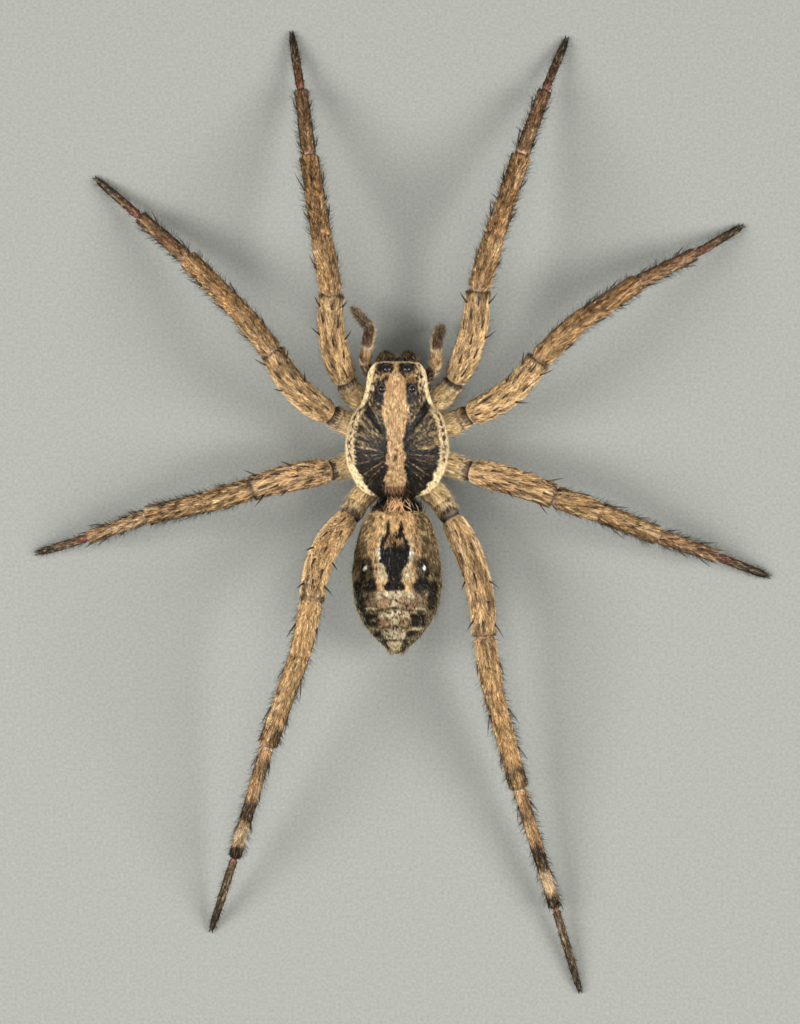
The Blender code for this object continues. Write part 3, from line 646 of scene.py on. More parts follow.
def leg_limb(number, side, sign):
    """Builds the line of one leg."""
    sizes = LEG_SIZES[number]
    turns, rises = POSE[number, side]
    joints = [np.array([sign * sizes["base"][0], sizes["base"][1], LEG_BASE_Z])]
    foot = sizes["lengths"][-1]
    for length, turn, rise in zip(sizes["lengths"], turns, rises):
        joints.append(joints[-1] + heading(turn, rise, sign) * length)
    drop = math.degrees(math.asin((LEG_TIP_Z - joints[-1][2]) / foot))
    joints.append(joints[-1] + heading(turns[-1], drop, sign) * foot)
    coxa_root = (BODY_X + sign * sizes["root"][0], sizes["root"][1], CORE_Z)
    coxa_tip = (sign * sizes["coxa_tip"][0], sizes["coxa_tip"][1], LEG_BASE_Z)
    swing = math.radians(turns[0])
    bow = np.array([sign * math.cos(swing) * sizes["bow"], math.sin(swing) * sizes["bow"], FEMUR_RISE])
    return Limb([coxa_root, coxa_tip, *joints], 2.0, {2: bow})


# %% [markdown]
# ## The legs' skin
#
# The skin of a leg is one tube from the body to the claws. As by hand, it is a curve with a round bevel,
# with its own radius at each point, and is then made a mesh. The radius dips at each joint, where the real
# leg shows a soft membrane between two horny tubes.

# %% Model the legs' skin
GIRTH = [
    [(0, 0.5), (0.35, 0.62), (0.7, 0.74), (1, 0.72)],
    [(0, 0.74), (0.4, 0.7), (0.7, 0.72), (1, 0.66)],
    [(0, 0.66), (0.08, 0.76), (0.3, 0.85), (0.6, 0.83), (0.85, 0.77), (0.95, 0.76), (1, 0.7)],
    [(0, 0.6), (0.15, 0.67), (0.6, 0.69), (0.9, 0.65), (1, 0.62)],
    [(0, 0.6), (0.12, 0.61), (0.4, 0.6), (0.75, 0.57), (0.94, 0.58), (1, 0.52)],
    [(0, 0.39), (0.08, 0.43), (0.4, 0.41), (0.8, 0.38), (0.95, 0.39), (1, 0.34)],
    [(0, 0.21), (0.08, 0.235), (0.5, 0.23), (0.85, 0.2), (0.97, 0.14), (1, 0.09)]]
JOINT_DEPTH = np.array([0.0, 0.0, 0.08, 0.17, 0.07, 0.19, 0.2, 0.0])
HIND_FOOT_SLIMNESS = 0.92
TUBE_ROUNDNESS = 12


def tube(name, limb):
    """Models a limb as a bevelled curve with a radius at each point, and makes it a mesh."""
    take()
    bpy.ops.curve.primitive_nurbs_path_add(location=(0, 0, 0))
    curve = bpy.context.object.data
    curve.splines.clear()
    spline = curve.splines.new("POLY")
    spline.points.add(len(limb.points) - 1)
    spline.points.foreach_set("co", np.column_stack([limb.points * MM, np.ones(len(limb.points))]).ravel())
    spline.points.foreach_set("radius", limb.radius)
    curve.dimensions = "3D"
    curve.twist_mode = "Z_UP"
    curve.bevel_depth = MM
    curve.bevel_resolution = TUBE_ROUNDNESS
    curve.use_fill_caps = True
    bpy.ops.object.convert(target="MESH")
    edit((bpy.ops.mesh.remove_doubles, {"threshold": 0.000001}), OUTWARDS)
    return finished(name)


def read_ring(limb, piece):
    """Finds, for each point of a tube, its sample on the line and its angle round it."""
    points = points_of(piece)
    best = np.full(len(points), np.inf)
    index = np.zeros(len(points), int)
    for start in range(0, len(limb.points), 64):
        apart = ((points[:, None] - limb.points[None, start:start + 64]) ** 2).sum(-1)
        low = apart.min(1)
        index = np.where(low < best, apart.argmin(1) + start, index)
        best = np.minimum(best, low)
    out = points - limb.points[index]
    return index, np.arctan2((out * limb.upward[index]).sum(-1), (out * limb.sideways[index]).sum(-1))


def limb_skin(name, limb, shade_at, spread=None):
    """Models the tube of a limb and colours it by a rule on the samples and the angles."""
    piece = tube(name, limb)
    index, angle = read_ring(limb, piece)
    grain = (limb.reach[index], angle * (spread or limb.radius[index]))
    station = limb.reach[index] / limb.reach[-1]
    return piece, Skin(piece, shade_at(index, angle), limb.forward[index], station, angle, grain)


# %% [markdown]
# ## The legs' colours
#
# The thighs are tan with fine dark dashes and smudges. Beyond the knee the front legs turn brown, and the
# feet are reddish brown to nearly black. The hind legs stay paler and have dark rings near the ends of the
# shin and foot. Streaks run along the leg, because the short hairs lie that way.

# %% Mix the legs' colours
HIP_COLOURS = ((188, 160, 112), (192, 162, 114))
FRONT_COLOURS = ((200, 164, 116), (166, 131, 88), (152, 116, 76), (128, 96, 68), (90, 66, 48))
HIND_COLOURS = ((212, 172, 122), (212, 171, 118), (216, 173, 119), (206, 163, 117), (92, 76, 54))
LEG_STRENGTH = {1: (1, 1, 1.08, 1.3, 1.85, 1.5, 1), 2: (1, 1, 1.08, 1.3, 1.75, 1.4, 1),
                3: (1, 1, 0.78, 0.66, 0.63, 0.62, 0.9), 4: (1, 1, 0.9, 0.94, 0.92, 0.92, 1)}
SIDE_DARKNESS = {1: (0.7, 0.85), 2: (0.6, 0.85), 3: (0.5, 0.8), 4: (0.25, 0.6)}
STREAKED = np.array([0.2, 0.2, 0.5, 0.6, 0.6, 0.5, 0.4])
FRONT_SPECKS = np.array([0.4, 0.4, 0.5, 0.6, 0.65, 0.55, 0.4])
SPECKED = {1: FRONT_SPECKS, 2: FRONT_SPECKS, 3: FRONT_SPECKS * 1.35, 4: np.full(7, 0.45)}
MEMBRANE = paint(196, 162, 136)
TIP_BLACK = paint(44, 40, 32)
CREST_BROWN = paint(66, 46, 36)


def leg_shade(number, limb, index, angle, seed):
    """Gives the colour of points on a leg, from their sample on its line and their angle round it."""
    colours = HIP_COLOURS + (FRONT_COLOURS if number < 3 else HIND_COLOURS)
    table = np.array([paint(*colour) for colour in colours]) * np.array(LEG_STRENGTH[number])[:, None]
    part, share, reach = limb.part[index], limb.share[index], limb.reach[index]
    trochanter, femur, patella, tibia, metatarsus, tarsus = (part == i for i in range(1, 7))
    from_start, from_end = share * limb.lengths[part], (1 - share) * limb.lengths[part]
    top, flank = np.sin(angle), np.abs(np.cos(angle))
    flat = np.stack([reach, np.cos(angle) * limb.radius[index], top * limb.radius[index]], -1)
    leaning = flat + reach[:, None] * np.array([0, 0.22, 0])
    streak = noise(flat, (2.2, 0.16, 0.16), seed)
    blotch = noise(flat, (2.4, 0.9, 0.9), seed + 1)
    speck = noise(flat, (0.4, 0.14, 0.14), seed + 2)
    strand = noise(flat, (0.8, 0.085, 0.085), seed + 3, 40)
    slant = noise(leaning, (1.1, 0.12, 0.2), seed + 4, 40)
    smudge = ease(blotch + 0.4 * streak, 0.2, 0.8) * band(top, 0.1, 0.92, 0.2)
    foot, toe = SIDE_DARKNESS[number]
    low = fade(top + 0.15 * streak, 0.1, 0.75)
    layers = [(PALE_TAN, ease(-streak, 0.2, 0.9) * 0.35),
              (DARK_BROWN, ease(streak + 0.6 * blotch, 0.3, 1.0) * STREAKED[part]),
              (DARK_BROWN, ease(speck, 0.25, 0.6) * SPECKED[number][part]),
              (DARK_BROWN, ease(slant, 0.4, 0.75) * (part > 1) * (0.8 if number == 3 else 0.45)),
              (DARK_BROWN, femur * smudge * 0.5),
              (NEARLY_BLACK, metatarsus * low * foot),
              (NEARLY_BLACK, tarsus * low * toe)]
    if number == 4:
        end_ring = band(share, 0.76, 0.95, 0.05) * (0.35 + 0.65 * ease(flank + 0.3 * speck, 0.3, 0.8))
        layers += [(NEARLY_BLACK, tibia * end_ring * 0.9),
                   (DARK_BROWN, metatarsus * band(share, 0.1, 0.27, 0.05) * 0.5),
                   (NEARLY_BLACK, metatarsus * band(share + 0.02 * speck, 0.46, 0.67, 0.04) * 0.9),
                   (PALE_TAN, metatarsus * band(share, 0.68, 0.84, 0.04) * 0.6),
                   (NEARLY_BLACK, metatarsus * band(share, 0.87, 1.01, 0.02) * 0.97)]
    elif number == 3:
        layers += [(DARK_BROWN, tibia * ease(flank, 0.6, 0.95) * 0.5)]
    else:
        layers += [(NEARLY_BLACK, metatarsus * fade(from_end, 0.15, 0.45) * 0.7)]
    reddish = fade(from_start, 0.2, 0.5 if number == 4 else 1.6)
    knee = np.where(tibia, from_start, from_end)
    spot = band(from_start, 0.05, 0.17, 0.04) * ease(top, 0.65, 0.9)
    crest = 0.78 - 0.3 * ease(top, 0.2, 1.0)
    ring = trochanter * ease(share - crest, -0.04, 0.04) + femur * fade(from_start, 0.04, 0.1)
    seams = (trochanter * (groove(share - crest, 0.14) + ease(share, 0.84, 0.92))
             + femur * fade(from_start, 0.08, 0.16))
    rims = femur * band(from_start, 0.16, 0.34, 0.05) + trochanter * band(share, 0.26, 0.4, 0.04)
    layers += [(RED_BROWN, tarsus * reddish * ease(top, 0.0, 0.6) * 0.7),
               (TIP_BLACK, tarsus * ease(share, 0.3, 0.85) * 0.9),
               (NEARLY_BLACK, femur * fade(from_end, 0.3, 0.6) * ease(flank, 0.5, 0.85) * 0.8),
               (DARK_BROWN, patella * fade(from_start, 0.1, 0.4) * 0.6),
               (NEARLY_BLACK, tibia * fade(from_end, 0.15, 0.4) * ease(flank, 0.5, 0.85) * 0.7),
               (RED_BROWN, (tibia | patella) * fade(knee, 0.04, 0.11) * 0.8),
               (MEMBRANE, metatarsus * spot * 0.7),
               (CREST_BROWN, ring * 0.9),
               (NEARLY_BLACK, np.clip(seams, 0, 1) * 0.9),
               (NEARLY_BLACK, trochanter * groove(share - 0.2, 0.06) * ease(top, -0.2, 0.4) * 0.7),
               (PALE_TAN, rims * 0.45)]
    return lay(table[part], *layers) * np.exp(0.3 * strand)[:, None]


# %% [markdown]
# ## Eight dressed legs
#
# Each leg gets its radius, its tube and its colours. The skin stands for the leg's five solids, so that
# no gap shows between them.

# %% Dress the legs
legs = {}
for number, side in POSE:
    sign = dict(SIDES)[side]
    limb = leg_limb(number, side, sign)
    limb.swell(GIRTH)
    if number == 4:
        limb.radius[limb.part >= 5] *= HIND_FOOT_SLIMNESS
    dip = groove(limb.to_joint(), 0.12) - 0.2 * groove(limb.to_joint() - 0.34, 0.13)
    limb.radius = limb.radius * (1 - dip * JOINT_DEPTH[limb.joint()])
    seed = 10 * number + sign
    piece, skin = limb_skin(f"leg{number}_{side}_skin", limb,
                            lambda index, angle: leg_shade(number, limb, index, angle, seed))
    nodes = [f"leg{number}_{part}_{side}" for part in ("coxa", "femur", "patella", "tibia", "foot")]
    dress(piece, LEG_SKIN, "femur", *nodes)
    legs[number, side] = limb, skin
print("modelled", len(legs), "legs,", sum(len(skin.points) for _, skin in legs.values()), "points")

# %% [markdown]
# ## The front body
#
# The front body is one shell: a narrow, high head and a broad, rounded chest with a short slit on top.
# It starts as a sphere whose poles point forward and back. Each point is moved to the section that it
# belongs to, as a sculptor would pull it: sections are wide or narrow, boxy at the head and round behind.

# %% Sculpt the front body
HALF_WIDTH = [
    (0.0, 1.34), (0.035, 1.76), (0.09, 2.03), (0.2, 2.19), (0.3, 2.46), (0.4, 3.12),
    (0.5, 3.42), (0.62, 3.56), (0.75, 3.42), (0.86, 2.98), (0.94, 2.4), (1.0, 1.5)]
HEAD_TOP = [
    (0.0, 5.75), (0.025, 6.15), (0.07, 6.55), (0.13, 6.82), (0.24, 6.98), (0.5, 6.9),
    (0.66, 6.7), (0.8, 6.1), (0.9, 5.35), (1.0, 4.65)]
HEAD_RIM = [(0.0, 4.95), (0.12, 4.7), (0.3, 4.3), (0.45, 4.15), (0.9, 4.15), (1.0, 4.25)]
HEAD_COAT = 0.08
FOVEA_Y = -3.6
FOVEA_HALF = 0.6
SECTORS = (8.5, -5.0, -34.0, -46.0)
EYE_MOUNDS = ((0.68, -9.62, 0.42), (1.02, -8.23, 0.38))


def sphere(name, segments=176, rings=150):
    """Adds a sphere of radius 1 mm whose poles lie along Y."""
    take()
    bpy.ops.mesh.primitive_uv_sphere_add(segments=segments, ring_count=rings, radius=MM,
                                         rotation=(math.pi / 2, 0, 0))
    piece = finished(name)
    directions = points_of(piece)
    return piece, directions, np.arctan2(directions[:, 2], directions[:, 0])


def reshape(piece, points):
    """Moves the points of a mesh, and turns its faces outwards."""
    piece.data.vertices.foreach_set("co", (points * MM).ravel())
    take(piece)
    edit(OUTWARDS)
    piece.data.update()


def sculpt(name, shape, shade_at, lie_at, spread):
    """Pulls a sphere to the shape of a body, and gives it with its skin."""
    piece, directions, angle = sphere(name)
    points, station = shape(directions, angle)
    reshape(piece, points)
    grain = (points[:, 1], angle * spread)
    return piece, Skin(piece, shade_at(points), lie_at(points), station, angle, grain)


def polar(across, y):
    """Gives the angle in degrees and the distance of points seen from the slit, mirrored to one side."""
    ahead = FOVEA_Y - 0.35 - y
    return np.degrees(np.arctan2(ahead, np.abs(across) + 1e-6)), np.hypot(ahead, across)


def head_relief(x, y):
    """Gives how deep the slit, the furrows and the groove behind the head are, and lifts the eye mounds."""
    turn, away = polar(x, y)
    outer = ease(away, 0.7, 1.3)
    depth = 0.22 * groove(x, 0.09) * band(y, FOVEA_Y - FOVEA_HALF, FOVEA_Y + FOVEA_HALF, 0.15)
    depth = depth + 0.1 * groove(turn - 57, 5) * outer
    for sector in SECTORS:
        depth = depth + 0.05 * groove(turn - sector, 5) * outer
    for across, ahead, size in EYE_MOUNDS:
        depth = depth - 0.1 * groove(np.hypot(np.abs(x) - across, y - ahead), size)
    return depth


def front_body_points(directions, angle):
    """Moves the directions of a sphere onto the shape of the front body."""
    station = (1 + directions[:, 1]) / 2
    closing = rounded(station, 0.012, 0.05)
    rim = along(HEAD_RIM, station) + 0.05
    top = along(HEAD_TOP, station) - HEAD_COAT
    power = 2 / (2.9 - 0.8 * ease(station, 0.0, 0.38))
    cosine, sine = np.cos(angle), np.sin(angle)
    x = (along(HALF_WIDTH, station) - HEAD_COAT) * closing * np.sign(cosine) * np.abs(cosine) ** power
    rise = np.where(sine >= 0, (top - rim) * np.abs(sine) ** power, -0.35 * np.abs(sine))
    z = rim + rise * closing + 0.15 * (1 - closing)
    y = head_low[1] + 0.06 + station * (HEAD_LENGTH - 0.12)
    return np.stack([BODY_X + x, y, z - head_relief(x, y) * (sine > 0)], -1), station


# %% [markdown]
# ## The pattern of the front body
#
# Pale lines and grey-olive fields radiate from the slit over a dark shell. A cream band runs along the
# middle, and another round the edge, with a row of dark dots inside it. The pattern is worked out from the
# angle and the distance seen from the slit, so each field is a slice of a fan.

# %% Mix the pattern of the front body
PATTERN_SHIFT = 0.09
MIDDLE_BAND = [
    (-10.3, 0.2), (-9.7, 0.2), (-9.3, 0.3), (-8.9, 0.52), (-8.5, 0.68), (-8.1, 0.82), (-7.4, 0.88),
    (-6.6, 0.88), (-5.9, 0.72), (-5.4, 0.58), (-4.9, 0.52), (-4.2, 0.52), (-3.5, 0.64), (-2.85, 0.56),
    (-2.2, 0.76), (-1.7, 0.62), (-1.3, 0.3)]
SHELL_BLACK = paint(22, 18, 14)
BAND_TAN = paint(178, 144, 102)
OLIVE_GREY = paint(104, 86, 58)
RAY = paint(172, 146, 102)
HEAD_STRIPE = paint(196, 164, 118)
THORAX_RAYS = ((8.5, 1.0, 1.0), (-5.0, 0.9, 0.7), (-17.0, 0.8, 0.5), (-34.0, 1.0, 0.85), (-46.0, 0.9, 0.7))
EYE_PATCHES = ((0.24, 1.3, -10.1, -9.3), (0.76, 1.56, -8.7, -7.25))


def edge_of(points):
    """Gives how far points of the front body are from its side edge."""
    station = np.clip((points[:, 1] - head_low[1]) / HEAD_LENGTH, 0, 1)
    return along(HALF_WIDTH, station) - np.abs(points[:, 0] - BODY_X), station


def chest_layers(turn, away, y, speck, rough, ray):
    """Gives the fan of olive fields, black furrows and pale rays."""
    olive = band(turn, 9, 51, 1.5) * ease(away, 1.0, 1.6)
    grains = 0.8 * ray + 0.8 * speck + 0.15 * away
    wedge = band(turn, 63, 86, 1.5) * band(y, -8.3, -5.9, 0.25)
    faint = ease(speck + 0.6 * rough, -0.8, 0.1) * band(away, 1.0, 2.5, 0.35)
    furrows = (groove(turn - 24, 2.4) + groove(turn - 37, 2.0)) * band(away, 0, 2.6, 0.5)
    head_line = groove(turn - 62, 0.8) * band(y, -7.9, -5.7, 0.2)
    rays = [(RAY, groove(turn - sector, width) * faint * strength) for sector, width, strength in THORAX_RAYS]
    return [(OLIVE_GREY, olive * (0.12 + 0.88 * ease(grains, 0.05, 0.45)) * 0.9),
            (RAY, olive * ease(grains, 0.7, 1.2) * 0.6),
            (SHELL_BLACK, olive * furrows * 0.8),
            (OLIVE_GREY, wedge * ease(speck + 0.4 * rough, -0.2, 0.3)),
            (RAY, wedge * ease(speck + 0.4 * rough, 0.6, 1.0) * 0.7),
            (RAY, head_line * ease(speck, -0.9, 0.2) * 0.9),
            *rays,
            (OLIVE_GREY, (turn < 8) * ease(ray + speck, 0.7, 1.2) * ease(away, 1.3, 2.4) * 0.6)]


def rim_layers(edge, y, side, speck, rough):
    """Gives the pale rim with its teeth and its row of dark dots."""
    beat = np.sin(y * 12 + 2 * side + 2.5 * rough)
    chest = band(y, -6.9, -3.3, 0.2)
    ground = fade(edge + 0.06 * speck, 0.42, 0.52) * ease(y, -7.0, -6.6)
    pale = [band(edge, 0.05, 0.38, 0.05) * fade(y, -7.3, -6.8),
            fade(edge, 0.17, 0.23) * ease(y, -7.5, -6.9),
            band(edge + 0.09 * np.sin(y * 26 + rough), 0.42, 0.68, 0.04) * band(y, -6.9, -3.2, 0.25) * 0.75,
            fade(edge + 0.1 * rough, 0.62, 0.72) * ease(y, -3.5, -3.1),
            band(edge, 0.16, 0.46, 0.05) * ease(-beat, -0.1, 0.4) * band(y, -6.9, -3.2, 0.2) * 0.6]
    return [(BAND_TAN, ground * ease(speck, -0.8, -0.2) * 0.8),
            (CREAM, np.maximum.reduce(pale) * ease(speck, -1.2, -0.4)),
            (SHELL_BLACK, band(edge, 0.21, 0.44, 0.04) * ease(beat, 0.0, 0.35) * chest * 0.97)]


def front_body_shade(points):
    """Gives the colour of points on the front body."""
    across, y, z = points[:, 0] - BODY_X - PATTERN_SHIFT, points[:, 1], points[:, 2]
    x, side = np.abs(across), np.sign(across)
    edge, station = edge_of(points)
    ahead = y - head_low[1]
    turn, away = polar(across, y)
    ray = noise(np.stack([turn / 1.5 + 40 * side, away / 0.5], -1), (1.0, 1.0), 71)
    speck = noise(points, (0.085, 0.13, 0.3), 72, 40)
    rough = noise(points, (0.28, 0.28, 0.3), 73)
    strand = noise(points, (0.075, 0.3, 0.4), 74, 40)
    half = along(MIDDLE_BAND, y) + 0.06 * rough + 0.04 * speck
    face = fade(x, 1.2, 1.5) * fade(y, -8.6, -8.1)
    cheek = band(edge, 0.3, 0.95, 0.1) * fade(y, -8.4, -7.6)
    tan = lay(plain(BAND_TAN, points),
              (CREAM, ease(speck, 0.2, 0.8) * 0.35),
              (HEAD_BROWN * 0.9, band(x, 0.3, 0.75, 0.1) * fade(y, -8.2, -7.4) * 0.6),
              (RED_BROWN, ease(y, -1.85, -1.5) * 0.8))
    patches = []
    for inner, outer, front, rear in EYE_PATCHES:
        patch = band(x + 0.1 * rough, inner, outer, 0.08)
        patch = patch * band(y + 0.18 * rough + 0.08 * speck, front, rear, 0.12)
        patches.append((SHELL_BLACK, patch * ease(rough + 2.0 * (outer - x), -0.7, 0.1)))
    inner_side = band(edge, 0.4, 0.52, 0.04) * fade(y, -8.9, -8.2) * ease(speck, -0.6, 0.0)
    front_line = fade(ahead, 0.21, 0.26) + fade(edge, 0.14, 0.2) * fade(y, -9.7, -9.5)
    front_line = np.clip(front_line, 0, 1) * (z > 5.58)
    under_line = band(ahead, 0.31, 0.43, 0.03) * ease(x, 0.16, 0.24) * (x < 1.35)
    rim, teeth, dots = rim_layers(edge, y, side, speck, rough)
    shade = lay(plain(SHELL_BLACK, points), *chest_layers(turn, away, y, speck, rough, ray),
                (HEAD_BROWN, face * ease(speck + 0.5 * rough, -0.9, 0.3) * 0.9),
                (OLIVE_GREY, cheek * ease(speck, -0.3, 0.2) * 0.9),
                (HEAD_STRIPE, cheek * ease(speck + 0.5 * rough, -0.3, 0.3) * 0.8),
                (DARK_BROWN, face * ease(speck, 0.1, 0.5) * 0.55),
                (tan, fade(x, half - 0.04, half + 0.04) * fade(y, -1.6, -1.35)),
                (SHELL_BLACK, fade(np.hypot(across / 0.1, (y - FOVEA_Y) / 0.34), 0.7, 1.2)),
                *patches,
                (HEAD_STRIPE, inner_side * 0.9),
                (NEARLY_BLACK, band(edge, 0.25, 0.33, 0.03) * fade(y, -8.2, -7.6) * 0.6),
                (HEAD_BROWN * 0.6, fade(ahead, 0.25, 0.35) * fade(z, 5.54, 5.6) * 0.95),
                (NEARLY_BLACK, under_line * 0.9), rim, teeth,
                (CREAM, front_line * ease(speck, -1.4, -0.6)), dots,
                (HEAD_BROWN * 0.7, ease(along(HEAD_RIM, station) - z, 0.0, 0.15)))
    return shade * np.exp(0.28 * strand)[:, None]


def fan_lie(points):
    """Gives how the hairs of the front body lie: down the fan's rays, and straight back along the middle."""
    x, y = points[:, 0] - BODY_X, points[:, 1]
    away = np.stack([x, y - FOVEA_Y, -0.3 * np.ones_like(x)], -1)
    back = np.stack([0.15 * x, np.ones_like(x), np.zeros_like(x)], -1)
    share = (ease(np.abs(x), 0.6, 1.1) * ease(y, -7.6, -6.6))[:, None]
    return unit(unit(away) * share + back * (1 - share))


piece, front_body = sculpt("front_body_skin", front_body_points, front_body_shade, fan_lie, 2.5)
dress(piece, BODY_SKIN, "carapace", "cephalothorax")
print("the front body has", len(front_body.triangles), "triangles")

# %% [markdown]
# ## The hind body
#
# The hind body is an egg, a little pointed behind. It is made like the front body, from a sphere, and is
# slightly wrinkled. Small pits on its back mark where muscles are fixed inside.

# %% Sculpt the hind body
REAR_HALF_WIDTH = [
    (0.0, 0.9), (0.03, 1.75), (0.1, 2.3), (0.25, 2.77), (0.4, 3.0), (0.52, 3.05),
    (0.66, 2.9), (0.78, 2.4), (0.88, 1.65), (0.95, 0.95), (1.0, 0.35)]
REAR_TOP = [
    (0.0, 5.2), (0.03, 5.85), (0.1, 6.4), (0.25, 6.85), (0.45, 6.95), (0.65, 6.55),
    (0.8, 5.75), (0.9, 4.95), (1.0, 3.9)]
REAR_BOTTOM = [
    (0.0, 4.0), (0.03, 3.2), (0.1, 2.3), (0.25, 1.55), (0.45, 1.3), (0.65, 1.45),
    (0.8, 1.95), (0.9, 2.5), (1.0, 3.25)]
REAR_COAT = 0.11
BACK_PITS = ((0.3, 0.75), (0.44, 0.85), (0.56, 0.8))


def hind_body_points(directions, angle):
    """Moves the directions of a sphere onto the shape of the hind body."""
    station = (1 + directions[:, 1]) / 2
    closing = rounded(station, 0.04, 0.03)
    half = np.maximum(along(REAR_HALF_WIDTH, station) - REAR_COAT, 0.12) * closing
    top = along(REAR_TOP, station) - REAR_COAT
    bottom = along(REAR_BOTTOM, station) + REAR_COAT
    middle = top * 0.45 + bottom * 0.55
    cosine, sine = np.cos(angle), np.sin(angle)
    height = np.where(sine > 0, top - middle, middle - bottom) * closing
    y = rear_low[1] + 0.1 + station * (REAR_LENGTH - 0.2)
    points = np.stack([BODY_X + cosine * half, y, middle + sine * height], -1)
    swelling = 0.03 * noise(points, (1.6, 0.5, 0.8), 81) * closing
    for row, across in BACK_PITS:
        away = np.hypot(np.abs(points[:, 0] - BODY_X) - across, y - rear_low[1] - row * REAR_LENGTH)
        swelling = swelling - 0.05 * groove(away, 0.14) * (sine > 0)
    return points + np.stack([cosine, 0 * sine, sine], -1) * swelling[:, None], station


# %% [markdown]
# ## The pattern of the hind body
#
# On the back lies a black heart mark between two pale bands, then rows of pale and dark bars down to the
# tip. The flanks are mottled olive and brown. Each mark is a soft mask, roughened so that its edge looks
# like a row of hair tips.

# %% Mix the pattern of the hind body
REAR_SHIFT = 0.15
HEART_MARK = [
    (1.2, 0.56), (1.6, 0.72), (2.0, 0.9), (2.5, 1.02), (3.3, 1.0), (3.65, 0.64), (3.9, 0.5), (4.4, 0.46),
    (4.7, 0.54), (4.95, 0.74), (5.15, 0.72), (5.35, 0.2)]
PALE_BANDS = [
    (-0.2, 1.0), (0.6, 1.3), (1.2, 1.55), (2.0, 1.75), (2.8, 1.7), (3.4, 1.5), (4.2, 1.3), (5.4, 1.25)]
BAR_WIDTH = [
    (5.3, 1.3), (5.6, 1.75), (6.3, 1.95), (6.5, 1.7), (6.6, 1.15), (7.0, 1.1), (7.6, 1.0), (7.9, 0.9),
    (8.6, 0.66)]
TAIL_WIDTH = [(8.6, 0.62), (9.1, 0.42), (9.6, 0.1)]
MARK_BLACK = paint(19, 16, 12)
BACK_TAN = paint(196, 160, 112)
BACK_PALE = paint(190, 176, 142)
BACK_PINK = paint(150, 119, 86)
FLANK_OLIVE = paint(84, 70, 46)
FLANK_GOLD = paint(192, 162, 112)
FLANK_GREY = paint(150, 138, 106)
WHITE_FLECK = paint(244, 236, 218)
BELLY = paint(140, 122, 92)
BARS = ((6.52, 1.2, 0.0), (7.74, 1.0, 0.22), (8.62, 0.7, 0.3))
BAR_CRESTS = ((5.25, 0.4, 1.35), (6.6, 0.4, 1.1), (7.84, 0.75, 0.9))
BLACK_BLOCKS = ((1.12, 2.1, 6.85, 7.7), (0.85, 1.5, 8.05, 8.5), (2.2, 2.9, 4.6, 6.6))
FLECKS = ((1.95, 3.72, 0.13), (1.05, 2.75, 0.1), (1.02, 2.45, 0.07), (0.98, 3.05, 0.07), (1.45, 6.5, 0.06))


def heart_layers(across, x, y, speck, rough):
    """Gives the pale bands, the heart mark with its hollow and its two prongs, and the pale border."""
    edge = along(PALE_BANDS, y)
    pale = fade(x, edge - 0.1, edge + 0.1) * fade(y, 5.3, 5.6)
    brown = ease(x, 0.9, 1.5) * ease(speck + 0.4 * rough, 0.1, 0.45) * fade(y, 4.4, 5.2)
    grey = band(x, 0.4, 1.15, 0.08) * band(y, 3.4, 4.55, 0.15)
    side = along(HEART_MARK, y)
    prong = np.hypot((np.abs(across) - 0.4 - 0.05 * rough) / 0.14, (y - 1.0) / 0.5)
    heart = fade(x, side - 0.05, side + 0.05) * ease(y, 1.15, 1.4)
    hollow = fade(x, side - 0.4, side - 0.2) * fade(y + 0.25 * rough + 0.1 * speck, 2.0, 2.5)
    filled = heart * (1 - 0.9 * hollow * ease(speck + 0.6 * rough, -0.3, 0.3))
    return [(BACK_TAN, pale * ease(y, -0.6, 0.2) * ease(speck + rough, -1.5, -0.5)),
            (HEAD_BROWN * 0.8, pale * ease(x, 1.0, 1.5) * ease(rough, -0.6, 0.4) * 0.7),
            (DARK_BROWN, pale * brown * 0.85),
            (BACK_PALE, grey * ease(speck, -0.7, 0.1)),
            (BACK_PALE, band(x, side + 0.02, side + 0.2, 0.05) * band(y, 1.6, 3.5, 0.2) * 0.9),
            (HEAD_BROWN * 0.8, heart * hollow * 0.8),
            (MARK_BLACK, np.maximum(filled, fade(prong, 0.8, 1.1)))]


def bar_layers(x, y, speck, rough):
    """Gives the pinkish bars with their pale crests, the black blocks beside them and the black lines."""
    edge = along(BAR_WIDTH, y)
    bars = band(y, 5.3, 8.62, 0.08) * fade(x, edge - 0.08, edge + 0.08)
    crests = [band(y - 0.12 * x, start, start + depth, 0.08) * fade(x, reach - 0.15, reach)
              for start, depth, reach in BAR_CRESTS]
    crests.append(0.6 * fade(x, 0.2, 0.5))
    outer = band(x, 1.2, 2.0, 0.06) * (groove(y - 6.5, 0.07) + groove(y - 7.88, 0.08))
    triangle = band(y, 6.2, 6.55, 0.04) * fade(x, 0.02, 0.06 + 0.35 * ease(y, 6.1, 6.7))
    layers = [(BACK_PINK, bars * ease(speck + 0.3 * rough, -0.7, 0.1) * 0.95),
              (DARK_BROWN, bars * ease(x, 0.9, 1.6) * ease(speck, 0.0, 0.5) * 0.6),
              (BACK_PALE, bars * np.maximum.reduce(crests) * ease(speck + 0.4 * rough, -0.6, 0.1))]
    for left, right, front, rear in BLACK_BLOCKS:
        block = band(x, left, right, 0.1) * band(y, front, rear, 0.12)
        layers.append((MARK_BLACK, block * ease(rough + 0.3 * speck, -1.1, -0.5) * 0.95))
    for row, reach, gap in BARS:
        line = groove(y - row + 0.1 * np.cos(x * 3), 0.06) * fade(x, reach - 0.1, reach + 0.1)
        layers.append((MARK_BLACK, line * ease(x, gap - 0.05, gap + 0.05) * 0.95))
    return [*layers, (BACK_PALE, outer * ease(speck, -0.6, 0.2) * 0.9), (MARK_BLACK, triangle * 0.9)]


